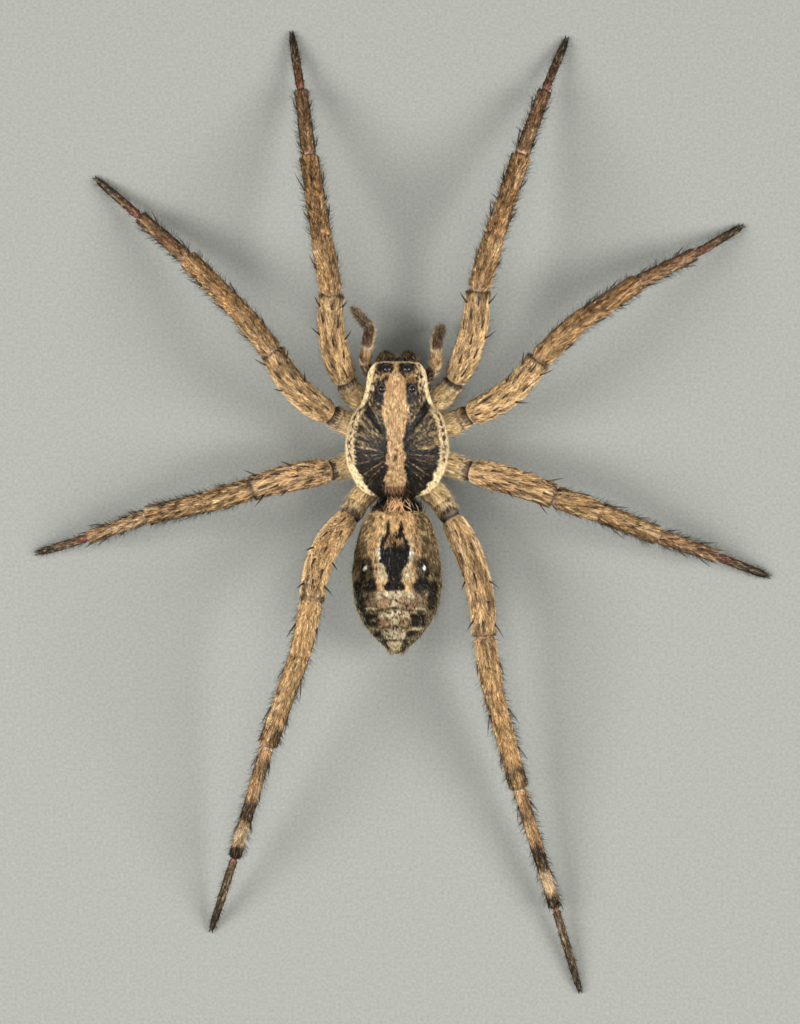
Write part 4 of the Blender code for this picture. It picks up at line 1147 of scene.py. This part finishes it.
def hind_body_shade(points):
    """Gives the colour of points on the hind body."""
    across, y, z = points[:, 0] - BODY_X - REAR_SHIFT, points[:, 1], points[:, 2]
    rough = noise(points, (0.26, 0.28, 0.4), 91)
    speck = noise(points, (0.09, 0.14, 0.2), 92, 40)
    cloud = noise(points, (0.65, 0.7, 0.7), 93)
    strand = noise(points, (0.075, 0.26, 0.4), 94, 40)
    x = np.abs(across) + 0.07 * rough + 0.03 * speck
    rearward = ease(y, 2.2, 3.6)
    lateral = band(x, 1.5, 2.3, 0.1) * band(y, 3.0, 5.3, 0.2)
    lateral = lateral * ease(rough + 0.4 * cloud + 0.3 * speck, -0.7, -0.2)
    outer_block = np.hypot((np.abs(across) - 1.7) / 0.55, (y - 4.95) / 0.42)
    edge = along(TAIL_WIDTH, y)
    tail = fade(x, edge - 0.06, edge + 0.06) * ease(y, 8.66, 8.76)
    flecks = [fade(np.hypot(np.abs(across) - spot_x, y - spot_y) / size, 0.7, 1.2) * (z > 4)
              for spot_x, spot_y, size in FLECKS]
    beside_tail = band(x, 0.45, 1.0, 0.1) * ease(y, 8.5, 8.7) * ease(z, 3.4, 3.9) * (1 - tail)
    belly = lay(plain(BELLY, points), (DARK_BROWN, band(y, 2.0, 7.8, 0.4) * fade(x, 1.0, 1.5) * 0.8))
    shade = lay(plain(FLANK_OLIVE, points),
                (FLANK_GOLD, ease(speck + 0.3 * cloud, 0.0, 0.5) * (0.85 - 0.35 * rearward)),
                (BACK_TAN, (1 - rearward) * ease(speck + 0.6 * rough, -0.3, 0.3) * 0.5),
                (DARK_BROWN, (1 - rearward) * ease(0.5 * cloud + rough + 0.4 * speck, 0.1, 0.5) * 0.75),
                (MARK_BLACK, ease(cloud + 0.6 * rough + 0.4 * speck, 0.2, 0.6) * (0.25 + 0.6 * rearward)),
                *heart_layers(across, x, y, speck, rough),
                (MARK_BLACK, np.maximum(lateral, fade(outer_block, 0.8, 1.1)) * 0.95),
                *bar_layers(x, y, speck, rough),
                (CREAM * 0.78, tail * ease(speck, -1.2, -0.3)),
                *((WHITE_FLECK, fleck) for fleck in flecks),
                # Painted shade: the hind body's front end, where it meets the front body, is painted black.
                (MARK_BLACK, fade(y, -0.45, -0.15)),
                (FLANK_GREY, band(z, 3.0, 4.6, 0.3) * ease(speck, 0.0, 0.5) * ease(y, -0.4, 0.2) * 0.75),
                (MARK_BLACK, beside_tail * ease(speck, -0.9, -0.1) * 0.9),
                (belly, fade(z, 2.2, 2.9)))
    return shade * np.exp(0.28 * strand)[:, None]


def back_lie(points):
    """Gives how the hairs of the hind body lie: backwards, and a little down the flanks."""
    x = points[:, 0] - BODY_X
    return unit(np.stack([0.12 * x, np.ones_like(x), -0.08 * np.abs(x)], -1))


piece, hind_body = sculpt("hind_body_skin", hind_body_points, hind_body_shade, back_lie, 2.9)
dress(piece, BODY_SKIN, "abdomen", "abdomen")
print("the hind body has", len(hind_body.triangles), "triangles")

# %% [markdown]
# ## Underneath: the breast plate, the mouth and the stalk
#
# Under the shell a core carries the eight legs. Its lower face is the breast plate, with the mouth's pads
# in front. A thin stalk joins the front and hind bodies, and the spinning tubes sit under the tip. They
# are spheres and cones pulled to size, since only their outer shape shows.

# %% Model the underside
CORE_WIDTH = [(0.15, 0.56), (0.27, 1.0), (0.4, 1.4), (0.55, 1.58), (0.7, 1.52), (0.82, 1.15), (0.95, 0.5)]
CORE_MIDDLE_Z = 3.2
PAD_Z = 2.0
STALK_RADIUS = 0.44
STALK_OVERLAP = 0.35
PAD_SIZE = (0.36, 0.6, 0.38)
MOUTH_PADS = {"left": ((0.5, -7.85), PAD_SIZE), "right": ((-0.5, -7.85), PAD_SIZE),
              "middle": ((0.0, -7.3), (0.28, 0.4, 0.3))}


def core_points(directions, angle):
    """Moves the directions of a sphere onto the core and breast plate."""
    share = (1 + directions[:, 1]) / 2
    station = 0.2 + 0.72 * share
    closing = rounded(share, 0.05, 0.05)
    cosine, sine = np.cos(angle), np.sin(angle)
    x = along(CORE_WIDTH, station) * closing * np.sign(cosine) * np.abs(cosine) ** 0.55
    z = CORE_MIDDLE_Z + np.sign(sine) * np.abs(sine) ** 0.7 * np.where(sine > 0, 1.3, 1.22) * closing
    return np.stack([BODY_X + x, head_low[1] + station * HEAD_LENGTH, z], -1)


def smooth_blob(name, centre, half_sizes, segments=32, rings=20):
    """Models a rounded pad from a sphere with three half sizes."""
    piece, directions, _ = sphere(name, segments, rings)
    reshape(piece, np.array(centre) + directions * np.array(half_sizes))
    return piece


def simple_skin(piece, colour, lie, seed, mottling=0.25):
    """Makes a skin of one mottled colour, with its hairs lying one way."""
    points = points_of(piece)
    x, y, z = (points - points.mean(0)).T
    spots = noise(points, (0.2, 0.2, 0.2), seed)
    tint = lay(plain(colour, points), (DARK_BROWN, ease(spots, 0.0, 0.9) * mottling))
    angle = np.arctan2(z, x)
    station = (y - y.min()) / np.ptp(y)
    return Skin(piece, tint, plain(unit(np.array(lie, float)), points), station, angle, (points[:, 1], angle))


piece, directions, angle = sphere("breast_plate", 64, 48)
reshape(piece, core_points(directions, angle))
breast = simple_skin(piece, paint(64, 46, 34), (0, 1, 0), 101)
dress(piece, JAW_SKIN, "carapace")
for label, ((x, y), half_sizes) in MOUTH_PADS.items():
    pad = smooth_blob(f"mouth_pad_{label}", (BODY_X + x, y, PAD_Z), half_sizes)
    simple_skin(pad, paint(96, 66, 44), (0, -1, 0), 102)
    dress(pad, JAW_SKIN, "carapace")

centre, half = middle_of("pedicel")
half_sizes = (STALK_RADIUS, half[1] + STALK_OVERLAP, STALK_RADIUS)
stalk = smooth_blob("stalk", (BODY_X, *centre[1:]), half_sizes, 24, 24)
simple_skin(stalk, paint(52, 38, 28), (0, 1, 0), 103)
dress(stalk, BODY_SKIN, "pedicel", "pedicel")
print("made the breast plate,", len(MOUTH_PADS), "mouth pads and the stalk")

# %% [markdown]
# ## The spinning tubes
#
# Six short tubes cluster under the tip, two pairs of which show. Each is a cone with a few rings, extruded
# and narrowed step by step, and all are joined into one piece.

# %% Model the spinning tubes
SPINNER_PAIRS = ((0.36, 2.3, 8.15, 1.65, 0.23), (0.27, 2.78, 8.15, 1.95, 0.22), (0.13, 2.5, 8.2, 1.3, 0.13))
SPINNER_GIRTH = (1.0, 1.06, 1.0, 1.02, 0.93, 0.9, 0.7, 0.35)


def extruded_tube(name, base, tip, radii, sides):
    """Extrudes a circle along a line, resizing it at each step, and closes its end."""
    base, tip = Vector(base) * MM, Vector(tip) * MM
    take()
    bpy.ops.mesh.primitive_circle_add(vertices=sides, radius=radii[0] * MM, fill_type="NGON", location=base,
                                      rotation=(tip - base).to_track_quat("Z", "Y").to_euler())
    bpy.ops.object.mode_set(mode="EDIT")
    step = (tip - base) / (len(radii) - 1)
    for i, (before, after) in enumerate(zip(radii, radii[1:]), 1):
        bpy.ops.mesh.extrude_region_move(TRANSFORM_OT_translate={"value": step})
        bpy.ops.transform.resize(value=(after / before,) * 3, center_override=base + step * i)
    edit(OUTWARDS)
    return finished(name)


def join(pieces, name):
    """Joins several meshes into the first one."""
    take(*pieces)
    bpy.ops.object.join()
    return finished(name)


spinner_end = span("spinnerets")[1][1]
tubes = [smooth_blob("spinner_base", (BODY_X, 8.5, 2.62), (0.62, 0.5, 0.42))]
for _, sign in SIDES:
    for across, height, front, length, radius in SPINNER_PAIRS:
        start = (BODY_X + sign * across, front, height)
        end = (BODY_X + sign * (across + 0.1), min(front + length, spinner_end), height - 0.02)
        tubes.append(extruded_tube("spinning_tube", start, end, [radius * k for k in SPINNER_GIRTH], 16))
spinners = join(tubes, "spinning_tubes")
spinner_skin = simple_skin(spinners, paint(88, 72, 50), (0, 1, 0), 104)
dress(spinners, BODY_SKIN, "spinneret", "spinnerets")
print("joined", len(tubes), "pieces into the spinning tubes")

# %% [markdown]
# ## The eyes
#
# A wolf spider has eight eyes in three rows: two large ones that look forward and up, two smaller ones
# behind them, and a row of four small ones low on the face. Each is a shiny ball, most of which is sunk in
# the head, with a thin dark rim of skin round it.

# %% Model the eyes
EYE_FACING = {"posterior_median": (0.55, -0.5, 1.0), "posterior_lateral": (0.55, 0.15, 1.0),
              "anterior_median": (0, -1, 0.12), "anterior_lateral": (0, -1, 0.12)}
RIM_THICKNESS = 0.04
eyes = []
rims = []
for row, (x, y, z) in EYE_FACING.items():
    for side, sign in SIDES:
        name = f"eye_{row}_{side}"
        centre, half = middle_of(name)
        radius = half.max()
        eyes.append((centre, radius))
        dress(smooth_blob(f"{name}_lens", centre, (radius,) * 3, 40, 28), LENS, "eye", name)
        facing = Vector((sign * x, y, z)).normalized()
        take()
        bpy.ops.mesh.primitive_torus_add(major_segments=40, minor_segments=10,
                                         major_radius=radius * 0.97 * MM, minor_radius=RIM_THICKNESS * MM,
                                         location=(Vector(centre) + facing * radius * 0.3) * MM,
                                         rotation=facing.to_track_quat("Z", "Y").to_euler())
        rims.append(finished(f"{name}_rim"))
eye_rims = join(rims, "eye_rims")
simple_skin(eye_rims, paint(44, 34, 26), (0, 1, 0), 105)
dress(eye_rims, JAW_SKIN, "carapace")
print("set", len(eyes), "eyes")

# %% [markdown]
# ## Jaws and fangs
#
# The jaws hang from the face as two stout, glossy barrels, and a curved fang folds in under each. They
# are painted near black: partly their own dark brown, and partly painted shade under the face and palps.

# %% Model the jaws and fangs
JAW_GIRTH = [(0.0, 0.7), (0.08, 0.92), (0.3, 1.0), (0.62, 0.97), (0.85, 0.84), (0.95, 0.62), (1.0, 0.3)]
JAW_COAT = np.array([0.16, 0.1, 0.04])
JAW_SHIFT = 0.1
FANG_TURNS = np.radians(80) * np.arange(15) / 14
jaws = {}
for side, sign in SIDES:
    centre, half = middle_of(f"chelicera_{side}")
    fang_x = BODY_X + sign * abs(centre[0] - BODY_X)
    fang_y = middle_of(f"fang_{side}")[0][1]
    fang_z = centre[2] - half[2] + 0.1
    centre, half = centre - np.array([sign * JAW_SHIFT, 0, 0]), half - JAW_COAT
    piece, directions, _ = sphere(f"jaw_{side}", 48, 40)
    x, y, z = (directions[:, [0, 2, 1]] * np.array([1, 1, -1])).T
    down = (1 - z) / 2
    wide = np.maximum(np.hypot(x, y), 1e-6)
    girth = along(JAW_GIRTH, down) * np.clip(wide * 3.5, 0, 1) / wide
    bulge = 0.1 * np.sin(down * math.pi) * (y < 0)
    reshape(piece, centre + np.stack([x * girth * half[0], y * girth * half[1] - bulge,
                                      (0.5 - down) * 2 * half[2] + 0.12], -1))
    # The jaws' skin is painted very dark brown: partly its own colour, partly painted shade under the face.
    jaws[side] = simple_skin(piece, paint(58, 36, 24), (0, -0.25, -1), 110 + sign, 0.4)
    dress(piece, JAW_SKIN, "chelicera", f"chelicera_{side}")
    fang = Limb([(fang_x - sign * 0.95 * (1 - math.cos(turn)), fang_y, fang_z - 1.3 * math.sin(turn))
                 for turn in FANG_TURNS], 1.5)
    fang.radius = 0.24 * (1 - fang.reach / fang.reach[-1]) ** 0.7 + 0.02
    dress(tube(f"fang_{side}_horn", fang), FANG_HORN, "fang", f"fang_{side}")
print("hung", len(jaws), "jaws with their fangs")

# %% [markdown]
# ## Palps
#
# A palp is a short leg with one part fewer. The left one reaches forward and out, and the right one
# points down at the floor.

# %% Model the palps
PALP_STOPS = {
    "left": ((1.1, -8.1, 2.5), (1.5, -8.35, 2.45), (2.35, -9.95, 4.0), (2.3, -10.85, 4.35),
             (1.98, -12.4, 3.85), (3.2, -13.75, 2.0)),
    "right": ((-0.7, -8.1, 2.5), (-1.15, -8.35, 2.45), (-2.4, -9.65, 4.0), (-2.45, -10.65, 4.4),
              (-2.5, -11.9, 3.3), (-2.85, -12.5, 1.1))}
PALP_GIRTH = [[(0, 0.28), (1, 0.3)], [(0, 0.28), (0.3, 0.32), (0.9, 0.34), (1, 0.3)],
              [(0, 0.3), (0.4, 0.36), (1, 0.3)], [(0, 0.3), (0.4, 0.36), (0.9, 0.33), (1, 0.26)],
              [(0, 0.24), (0.3, 0.26), (0.7, 0.23), (0.93, 0.15), (1, 0.06)]]
PALP_RADIUS = 0.35
# The palp's first two parts are painted dark brown and its knee blotched dark: partly their own colour,
# partly painted shade.
PALP_COLOURS = np.array([paint(84, 64, 46), paint(72, 54, 40), paint(190, 156, 112), paint(98, 72, 54),
                         paint(110, 86, 68)])


def palp_shade(limb, index, angle, sign):
    """Gives the colour of points on a palp: streaked, with dark blots on its knee and pale seams."""
    part = limb.part[index]
    flat = np.stack([limb.reach[index], np.cos(angle) * PALP_RADIUS, np.sin(angle) * PALP_RADIUS], -1)
    streaks = ease(noise(flat, (1.2, 0.12, 0.12), 120 + sign), 0.0, 0.9)
    blots = ease(noise(flat, (0.2, 0.2, 0.2), 124 + sign), 0.0, 0.35) * (part == 2)
    flecks = ease(noise(flat, (0.2, 0.14, 0.14), 127 + sign), 0.5, 0.8) * (part == 1)
    outline = ease(np.abs(np.cos(angle)), 0.72, 0.92) * (part == 3)
    ends = fade(limb.to_joint()[index], 0.05, 0.18) * (part > 1)
    return lay(PALP_COLOURS[part], (DARK_BROWN, streaks * 0.5), (PURPLE_BROWN * 0.7, blots * 0.85),
               (PALE_TAN, flecks * 0.7), (PALE_TAN, np.maximum(outline, ends) * 0.8))


palps = {}
for side, sign in SIDES:
    limb = Limb(PALP_STOPS[side], 2.0)
    limb.swell(PALP_GIRTH)
    limb.radius *= 1 - 0.12 * groove(limb.to_joint(), 0.09) * (limb.part > 0)
    piece, skin = limb_skin(f"palp_{side}_skin", limb,
                            lambda index, angle: palp_shade(limb, index, angle, sign), PALP_RADIUS)
    dress(piece, LEG_SKIN, "palp", f"palp_{side}")
    palps[side] = limb, skin
print("bent", len(palps), "palps")

# %% [markdown]
# ## Spines and claws
#
# Stout black spines stand in pairs along each leg, and two hooked claws end it. One spine is modelled by
# extruding and narrowing a circle, and is copied to its places, leaning towards the foot.

# %% Model the spines and claws
SPINE_PLACES = {
    2: [(0.13, 78), (0.27, 114), (0.33, 56), (0.5, 88), (0.52, 28), (0.6, 150), (0.67, 62), (0.75, 118),
        (0.88, 90), (0.9, 30), (0.9, 150)],
    3: [(0.5, 12), (0.5, 168)],
    4: [(0.2, 18), (0.2, 162), (0.42, -52), (0.42, -128), (0.6, 18), (0.6, 162), (0.76, -52), (0.76, -128)],
    5: [(0.12, 18), (0.12, 162), (0.4, -45), (0.4, -135), (0.68, 18), (0.68, 162), (0.92, -50), (0.92, -130)]}
SPINE_LENGTH = {2: 1.08, 3: 1.0, 4: 1.3, 5: 1.1}
SPINE_LEAN = {2: 14, 3: 20, 4: 22, 5: 24}
SPINE_THICKNESS = 0.135
SPINE_TINT = paint(40, 30, 24)
pattern = extruded_tube("spine_pattern", (0, 0, 0), (1, 0, 0), (0.5, 0.46, 0.4, 0.31, 0.2, 0.05), 6)
take(pattern)
edit((bpy.ops.mesh.quads_convert_to_tris, {}))
spine_points = points_of(pattern)
SPINE_MODEL = (spine_points, np.array([tuple(face.vertices) for face in pattern.data.polygons]),
               -0.1 * spine_points[:, 0] ** 2)
bpy.data.objects.remove(pattern, do_unlink=True)


def place_spines(name, limb, seed):
    """Copies the spine to its places on one leg, as one mesh."""
    draw = np.random.default_rng(seed)
    roots, forward, upward, lengths = [], [], [], []
    for part, spots in SPINE_PLACES.items():
        here = np.flatnonzero(limb.part == part)
        for share, turn in spots:
            share = share + draw.uniform(-0.02, 0.02)
            sample = here[np.abs(limb.share[here] - share).argmin()]
            turn = math.radians(turn + draw.uniform(-8, 8))
            out = limb.sideways[sample] * math.cos(turn) + limb.upward[sample] * math.sin(turn)
            steep = 24 if part == 2 and abs(math.cos(turn)) > 0.8 else 0
            lean = math.radians(SPINE_LEAN[part] + steep + draw.uniform(-8, 8))
            roots.append(limb.points[sample] + out * (limb.radius[sample] + 0.05))
            forward.append(limb.forward[sample] * math.cos(lean) + out * math.sin(lean))
            upward.append(out)
            lengths.append(SPINE_LENGTH[part] * draw.uniform(0.65, 1.2))
    count = len(roots)
    return plant(name, SPINE_MODEL, np.array(roots), np.array(forward), np.array(upward), np.array(lengths),
                 np.full(count, SPINE_THICKNESS), plain(SPINE_TINT, roots), np.linspace(0.1, 0.9, count),
                 np.zeros(count))


def claws(name, limb):
    """Models the two hooked claws at the end of a leg."""
    level = unit(limb.forward[-1] * np.array([1, 1, 0]))
    across = np.cross(level, np.array([0.0, 0.0, 1.0]))
    root = limb.points[-1] - level * 0.12 + np.array([0, 0, 0.06])
    hooks = []
    for splay in (0.28, -0.28):
        ahead = unit(level + across * splay)
        turns = np.radians(75) * np.arange(9)[:, None] / 8
        links = root + ahead * np.sin(turns) * 0.5 - np.array([0, 0, 0.2]) * (1 - np.cos(turns))
        hook = Limb(links, 1.0)
        hook.radius = 0.07 * (1 - hook.reach / hook.reach[-1]) ** 0.6 + 0.012
        hook.points[:, 2] = np.maximum(hook.points[:, 2], hook.radius + 0.01)
        hooks.append(tube(f"{name}_{len(hooks)}", hook))
    return join(hooks, name)


for (number, side), (limb, skin) in legs.items():
    name = f"leg{number}_{side}"
    dress(place_spines(f"{name}_spines", limb, 200 + 10 * number + len(side)), SPINE_HORN, "foot")
    dress(claws(f"{name}_claws", limb), FANG_HORN, "fang")
print("set", sum(len(spots) for spots in SPINE_PLACES.values()), "spines on each leg")

# %% [markdown]
# ## The legs' coat
#
# Short hairs lie along each leg and break its outline. Finer dark bristles stand up among them, most of
# all on the shin and foot, and pale silky hairs fringe the hip. Each hair takes its colour from the
# pattern at its root, made lighter or darker at random.

# %% Grow the legs' coat
HAIRS_PER_SQUARE = 216
BRISTLES_PER_SQUARE = 16
HIP_HAIRS = 300
HAIR_LENGTH = np.array([0.5, 0.4, 0.5, 0.46, 0.46, 0.42, 0.34])
BRISTLE_LENGTH = np.array([0.6, 0.5, 0.5, 0.62, 0.66, 0.64, 0.42])
BRISTLE_CROWD = np.array([0.3, 0.2, 0.3, 1.0, 1.2, 1.6, 1.6])
COVERED_JOINT = 4
WHITE_HAIR = paint(218, 198, 160)
GOLD_HAIR = paint(218, 184, 132)
BLACK_HAIR = paint(26, 21, 18)


def all_black(roots, draw):
    """Gives every hair the same near-black."""
    return plain(BLACK_HAIR, roots["tint"])


def fringe_tint(roots, draw):
    """Gives fringe hairs the skin's colour, paled by a random share."""
    return lay(roots["tint"], (WHITE_HAIR, draw.uniform(0.0, 0.75, len(roots["tint"]))))


def speckled(dark_share, gold_share, shade_at=None):
    """Makes a rule for hair colours: the skin's own, lighter or darker, some of them dark or gold."""
    def tint(roots, draw):
        count = len(roots["tint"])
        own = shade_at(roots) if shade_at else roots["tint"]
        shade = own * np.exp(draw.normal(0, 0.36, (count, 1)))
        pick = draw.uniform(0, 1, count)
        dark, gold = pick < dark_share, pick > 1 - gold_share
        return lay(shade, (BLACK_HAIR, dark * 0.7), (GOLD_HAIR, gold * 0.55))
    return tint


def leg_coat(number, side, limb, skin, seed):
    """Grows the lying coat, the standing bristles and the pale hip hairs of one leg."""
    name = f"leg{number}_{side}"
    area = (2 * math.pi * limb.radius[:-1] * np.diff(limb.reach)).sum()
    sample = limb.sample_of(skin.spot)
    part = limb.part[sample]
    open_joint = limb.joint() != COVERED_JOINT
    room = np.where(open_joint, ease(limb.to_joint(), 0.05, 0.5), 1.0)
    bare = fade(limb.to_joint()[sample], 0.02, 0.09) * open_joint[sample] * (part > 1)
    ring = (part == 1) * ease(limb.share[sample], 0.45, 0.55)
    covered = np.clip(1 - np.maximum(bare, ring), 0, 1)
    flank = 1 + 0.5 * ease(np.abs(skin.spot[:, 1]), 0.6, 0.95) * (part > 3)

    def length_from(table):
        def length(roots):
            at_root = limb.sample_of(roots["spot"])
            return table[limb.part[at_root]] * (0.45 + 0.55 * room[at_root])
        return length

    def pattern(roots):
        return leg_shade(number, limb, limb.sample_of(roots["spot"]), angle_of(roots),
                         10 * number + dict(SIDES)[side])

    grow(f"{name}_coat", "femur", skin, int(area * HAIRS_PER_SQUARE), seed, length_from(HAIR_LENGTH),
         0.048, 11, 9, speckled(0.09, 0.12, pattern), covered)
    grow(f"{name}_bristles", "femur", skin, int(area * BRISTLES_PER_SQUARE), seed + 5,
         length_from(BRISTLE_LENGTH), 0.022, 50, 14, all_black, covered * BRISTLE_CROWD[part] * flank, True)
    grow(f"{name}_hip_hairs", "coxa", skin, HIP_HAIRS, seed + 9, 0.6, 0.022, 24, 22, fringe_tint,
         (part < 2) * covered, True)
    return int(area * HAIRS_PER_SQUARE)


total = 0
for (number, side), (limb, skin) in legs.items():
    total += leg_coat(number, side, limb, skin, 300 + 20 * number + len(side))
print("grew", total, "hairs on the legs")

# %% [markdown]
# ## The body's coat
#
# The back's hairs are short and lie close, so the pattern stays crisp. They take the pattern's colours
# too. Longer hairs stand where the two bodies meet, round the hips and over the jaws. At the waist, a fan
# of orange hairs shows between black ones, which are painted shade where the two bodies meet.

# %% Grow the body's coat
WAIST_ORANGE = paint(214, 144, 92)
WAIST_PALE = paint(236, 200, 148)


def marked(shade, dark_share, spread):
    """Makes a rule for hair colours: the pattern's own colour at the middle of each hair."""
    def tint(roots, draw):
        colours = shade(roots["points"] + roots["lie"] * 0.1)
        colours = colours * np.exp(draw.normal(0, spread, (len(colours), 1)))
        return lay(colours, (BLACK_HAIR, (draw.uniform(0, 1, len(colours)) < dark_share) * 0.8))
    return tint


def off_eyes(skin, margin):
    """Keeps hairs off the eyes."""
    crowd = np.ones(len(skin.points))
    for centre, radius in eyes:
        crowd *= np.linalg.norm(skin.points - centre, axis=-1) > radius + margin
    return crowd


def waist_tint(roots, draw):
    """Gives the hairs at the waist their colours: orange-tan in the middle, and black or pale beside it."""
    count = len(roots["tint"])
    x = np.abs(roots["points"][:, 0] - BODY_X - REAR_SHIFT) + draw.normal(0, 0.1, count)
    return lay(plain(WAIST_ORANGE, x), (WAIST_PALE, draw.uniform(0, 1, count)),
               (BLACK_HAIR, ease(x, 0.6, 0.75)),
               (WAIST_PALE, (draw.uniform(0, 1, count) < ease(x, 0.85, 1.3)) * 1.0))


def jaw_tint(roots, draw):
    """Gives the jaws black hairs with some of dull gold among them: partly their own colour, partly painted
    shade.
    """
    golden = draw.uniform(0, 1, len(roots["tint"])) < 0.3
    return lay(all_black(roots, draw), (GOLD_HAIR * 0.6, golden * 0.85))


def front_hair_length(roots):
    """Makes the hairs shorter near the edge of the shell, so that the row of dots stays crisp."""
    return 0.12 + 0.13 * ease(edge_of(roots["points"])[0], 0.5, 0.9)


def back_hair_length(roots):
    """Makes the hairs shorter over the bars, so that their edges stay crisp."""
    return 0.3 - 0.12 * ease(roots["points"][:, 1], 4.6, 5.4)


x, y, z = hind_body.points.T
grow("front_body_coat", "carapace", front_body, 49000, 401, front_hair_length, 0.032, 8, 9,
     marked(front_body_shade, 0.07, 0.3), off_eyes(front_body, 0.03))
grow("hind_body_coat", "abdomen", hind_body, 48500, 403, back_hair_length, 0.04, 10, 11,
     marked(hind_body_shade, 0.05, 0.38))
grow("hind_body_bristles", "abdomen", hind_body, 2500, 405, 0.42, 0.022, 40, 20, fringe_tint,
     0.4 + ease(4.9 - z, 0.0, 1.2), True)
grow("waist_hairs", "abdomen", hind_body.combed(0, -1, 0.3), 200, 407, 1.0, 0.055, 42, 36, waist_tint,
     band(y, -0.5, 0.05, 0.1) * (z > 4.7) * (1 - 0.8 * ease(np.abs(x - BODY_X), 0.8, 1.1)), True)
# Painted shade: black hairs on the hind body's front end, where the two bodies meet.
grow("waist_painted_shade_hairs", "abdomen", hind_body.combed(0, -1, 0.1), 900, 406, 1.0, 0.06, 34, 24, all_black,
     fade(y, -0.05, 0.15) * band(z, 3.9, 5.6, 0.1))

# %% [markdown]
# ## The hairs of the head, palps and jaws
#
# Dark hairs hang from the shell's rear end and under the face, but leave the eyes free. The jaws are
# furry in front, and the palps' last parts are the hairiest.

# %% Grow the coat of the head, palps and jaws
x, y, z = front_body.points.T
grow("shell_end_hairs", "carapace", front_body.combed(0, 1, -0.3), 1000, 408, 0.72, 0.026, 22, 20,
     marked(front_body_shade, 0.1, 0.2), (y > -1.75) * (z > 4.3) * (np.abs(x - BODY_X) < 1.25), True)
# The face's hairs take the jaws' black: partly their own colour, partly painted shade under the face.
grow("face_hairs", "carapace", front_body.combed(0, -1, -0.4), 1400, 409, 0.66, 0.03, 14, 20, jaw_tint,
     (y < -9.95) * (z < 5.05) * off_eyes(front_body, 0.05), True)
for side, (limb, skin) in palps.items():
    grow(f"palp_{side}_coat", "palp", skin, 6000, 410 + len(side), 0.3, 0.036, 14, 12, speckled(0.15, 0.1))
    feeler = 0.5 + 2.5 * (limb.part == 4)[limb.sample_of(skin.spot)]
    grow(f"palp_{side}_bristles", "palp", skin, 800, 412 + len(side), 0.42, 0.024, 42, 18, fringe_tint,
         feeler, True)
for side, skin in jaws.items():
    x, y, z = skin.points.T
    grow(f"jaw_{side}_coat", "chelicera", skin, 1600, 420 + len(side), 0.42, 0.03, 20, 14, jaw_tint,
         None, True)
    grow(f"jaw_{side}_fuzz", "chelicera", skin.combed(0, -1, 0.15), 1300, 424 + len(side), 0.32, 0.045,
         40, 36, jaw_tint, (z > 4.0) * (z < 5.0) * (y < -9.9), True)
grow("breast_coat", "carapace", breast, 2500, 430, 0.4, 0.035, 18, 14, speckled(0.1, 0.35))
grow("spinner_coat", "spinneret", spinner_skin, 1200, 432, 0.35, 0.03, 20, 12, speckled(0.1, 0.3))

# %% [markdown]
# ## Floor and light
#
# The spider stands on a plain, pale grey floor. Two wide soft lights hang on its left and right, so that
# both sides throw a faint shadow. A third, weaker one hangs high behind it, and the room adds a little
# light from everywhere.

# %% Lay the floor and hang the lights
FLOOR_SIZE = 1.2
FLOOR_TONES = ((0.155, 0.159, 0.14), (0.265, 0.271, 0.246))
LIGHTS = {"light_left": ((0.33, 0.02, 0.29), 0.22, 2.45), "light_right": ((-0.33, 0.02, 0.29), 0.22, 2.35),
          "light_rear": ((0.04, 0.19, 0.48), 0.27, 1.2)}
ROOM_LIGHT = 0.3
take()
bpy.ops.mesh.primitive_plane_add(size=FLOOR_SIZE, location=(0, 0, -0.00002))
floor = bpy.context.object
floor.name = "floor"
floor.data.materials.append(two_tone("floor_finish", 5000, 2, FLOOR_TONES, 0.6, 0.2, 0.25, IOR=1.4))
floor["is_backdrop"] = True
for name, (place, size, watts) in LIGHTS.items():
    lamp = bpy.data.objects.new(name, bpy.data.lights.new(name, "AREA"))
    lamp.data.shape = "SQUARE"
    lamp.data.size = size
    lamp.data.energy = watts
    lamp.location = place
    lamp.rotation_euler = (-Vector(place)).to_track_quat("-Z", "Y").to_euler()
    bpy.context.scene.collection.objects.link(lamp)
room = bpy.data.worlds.new("room")
room.use_nodes = True
room.node_tree.nodes["Background"].inputs["Color"].default_value = (1.0, 1.0, 1.0, 1.0)
room.node_tree.nodes["Background"].inputs["Strength"].default_value = ROOM_LIGHT
bpy.context.scene.world = room
print("hung", len(LIGHTS), "lights")

# %% Measure the dressed spider and finish
bpy.context.view_layer.update()
dressed_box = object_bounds()
tell_reach("the dressed spider reaches", dressed_box)
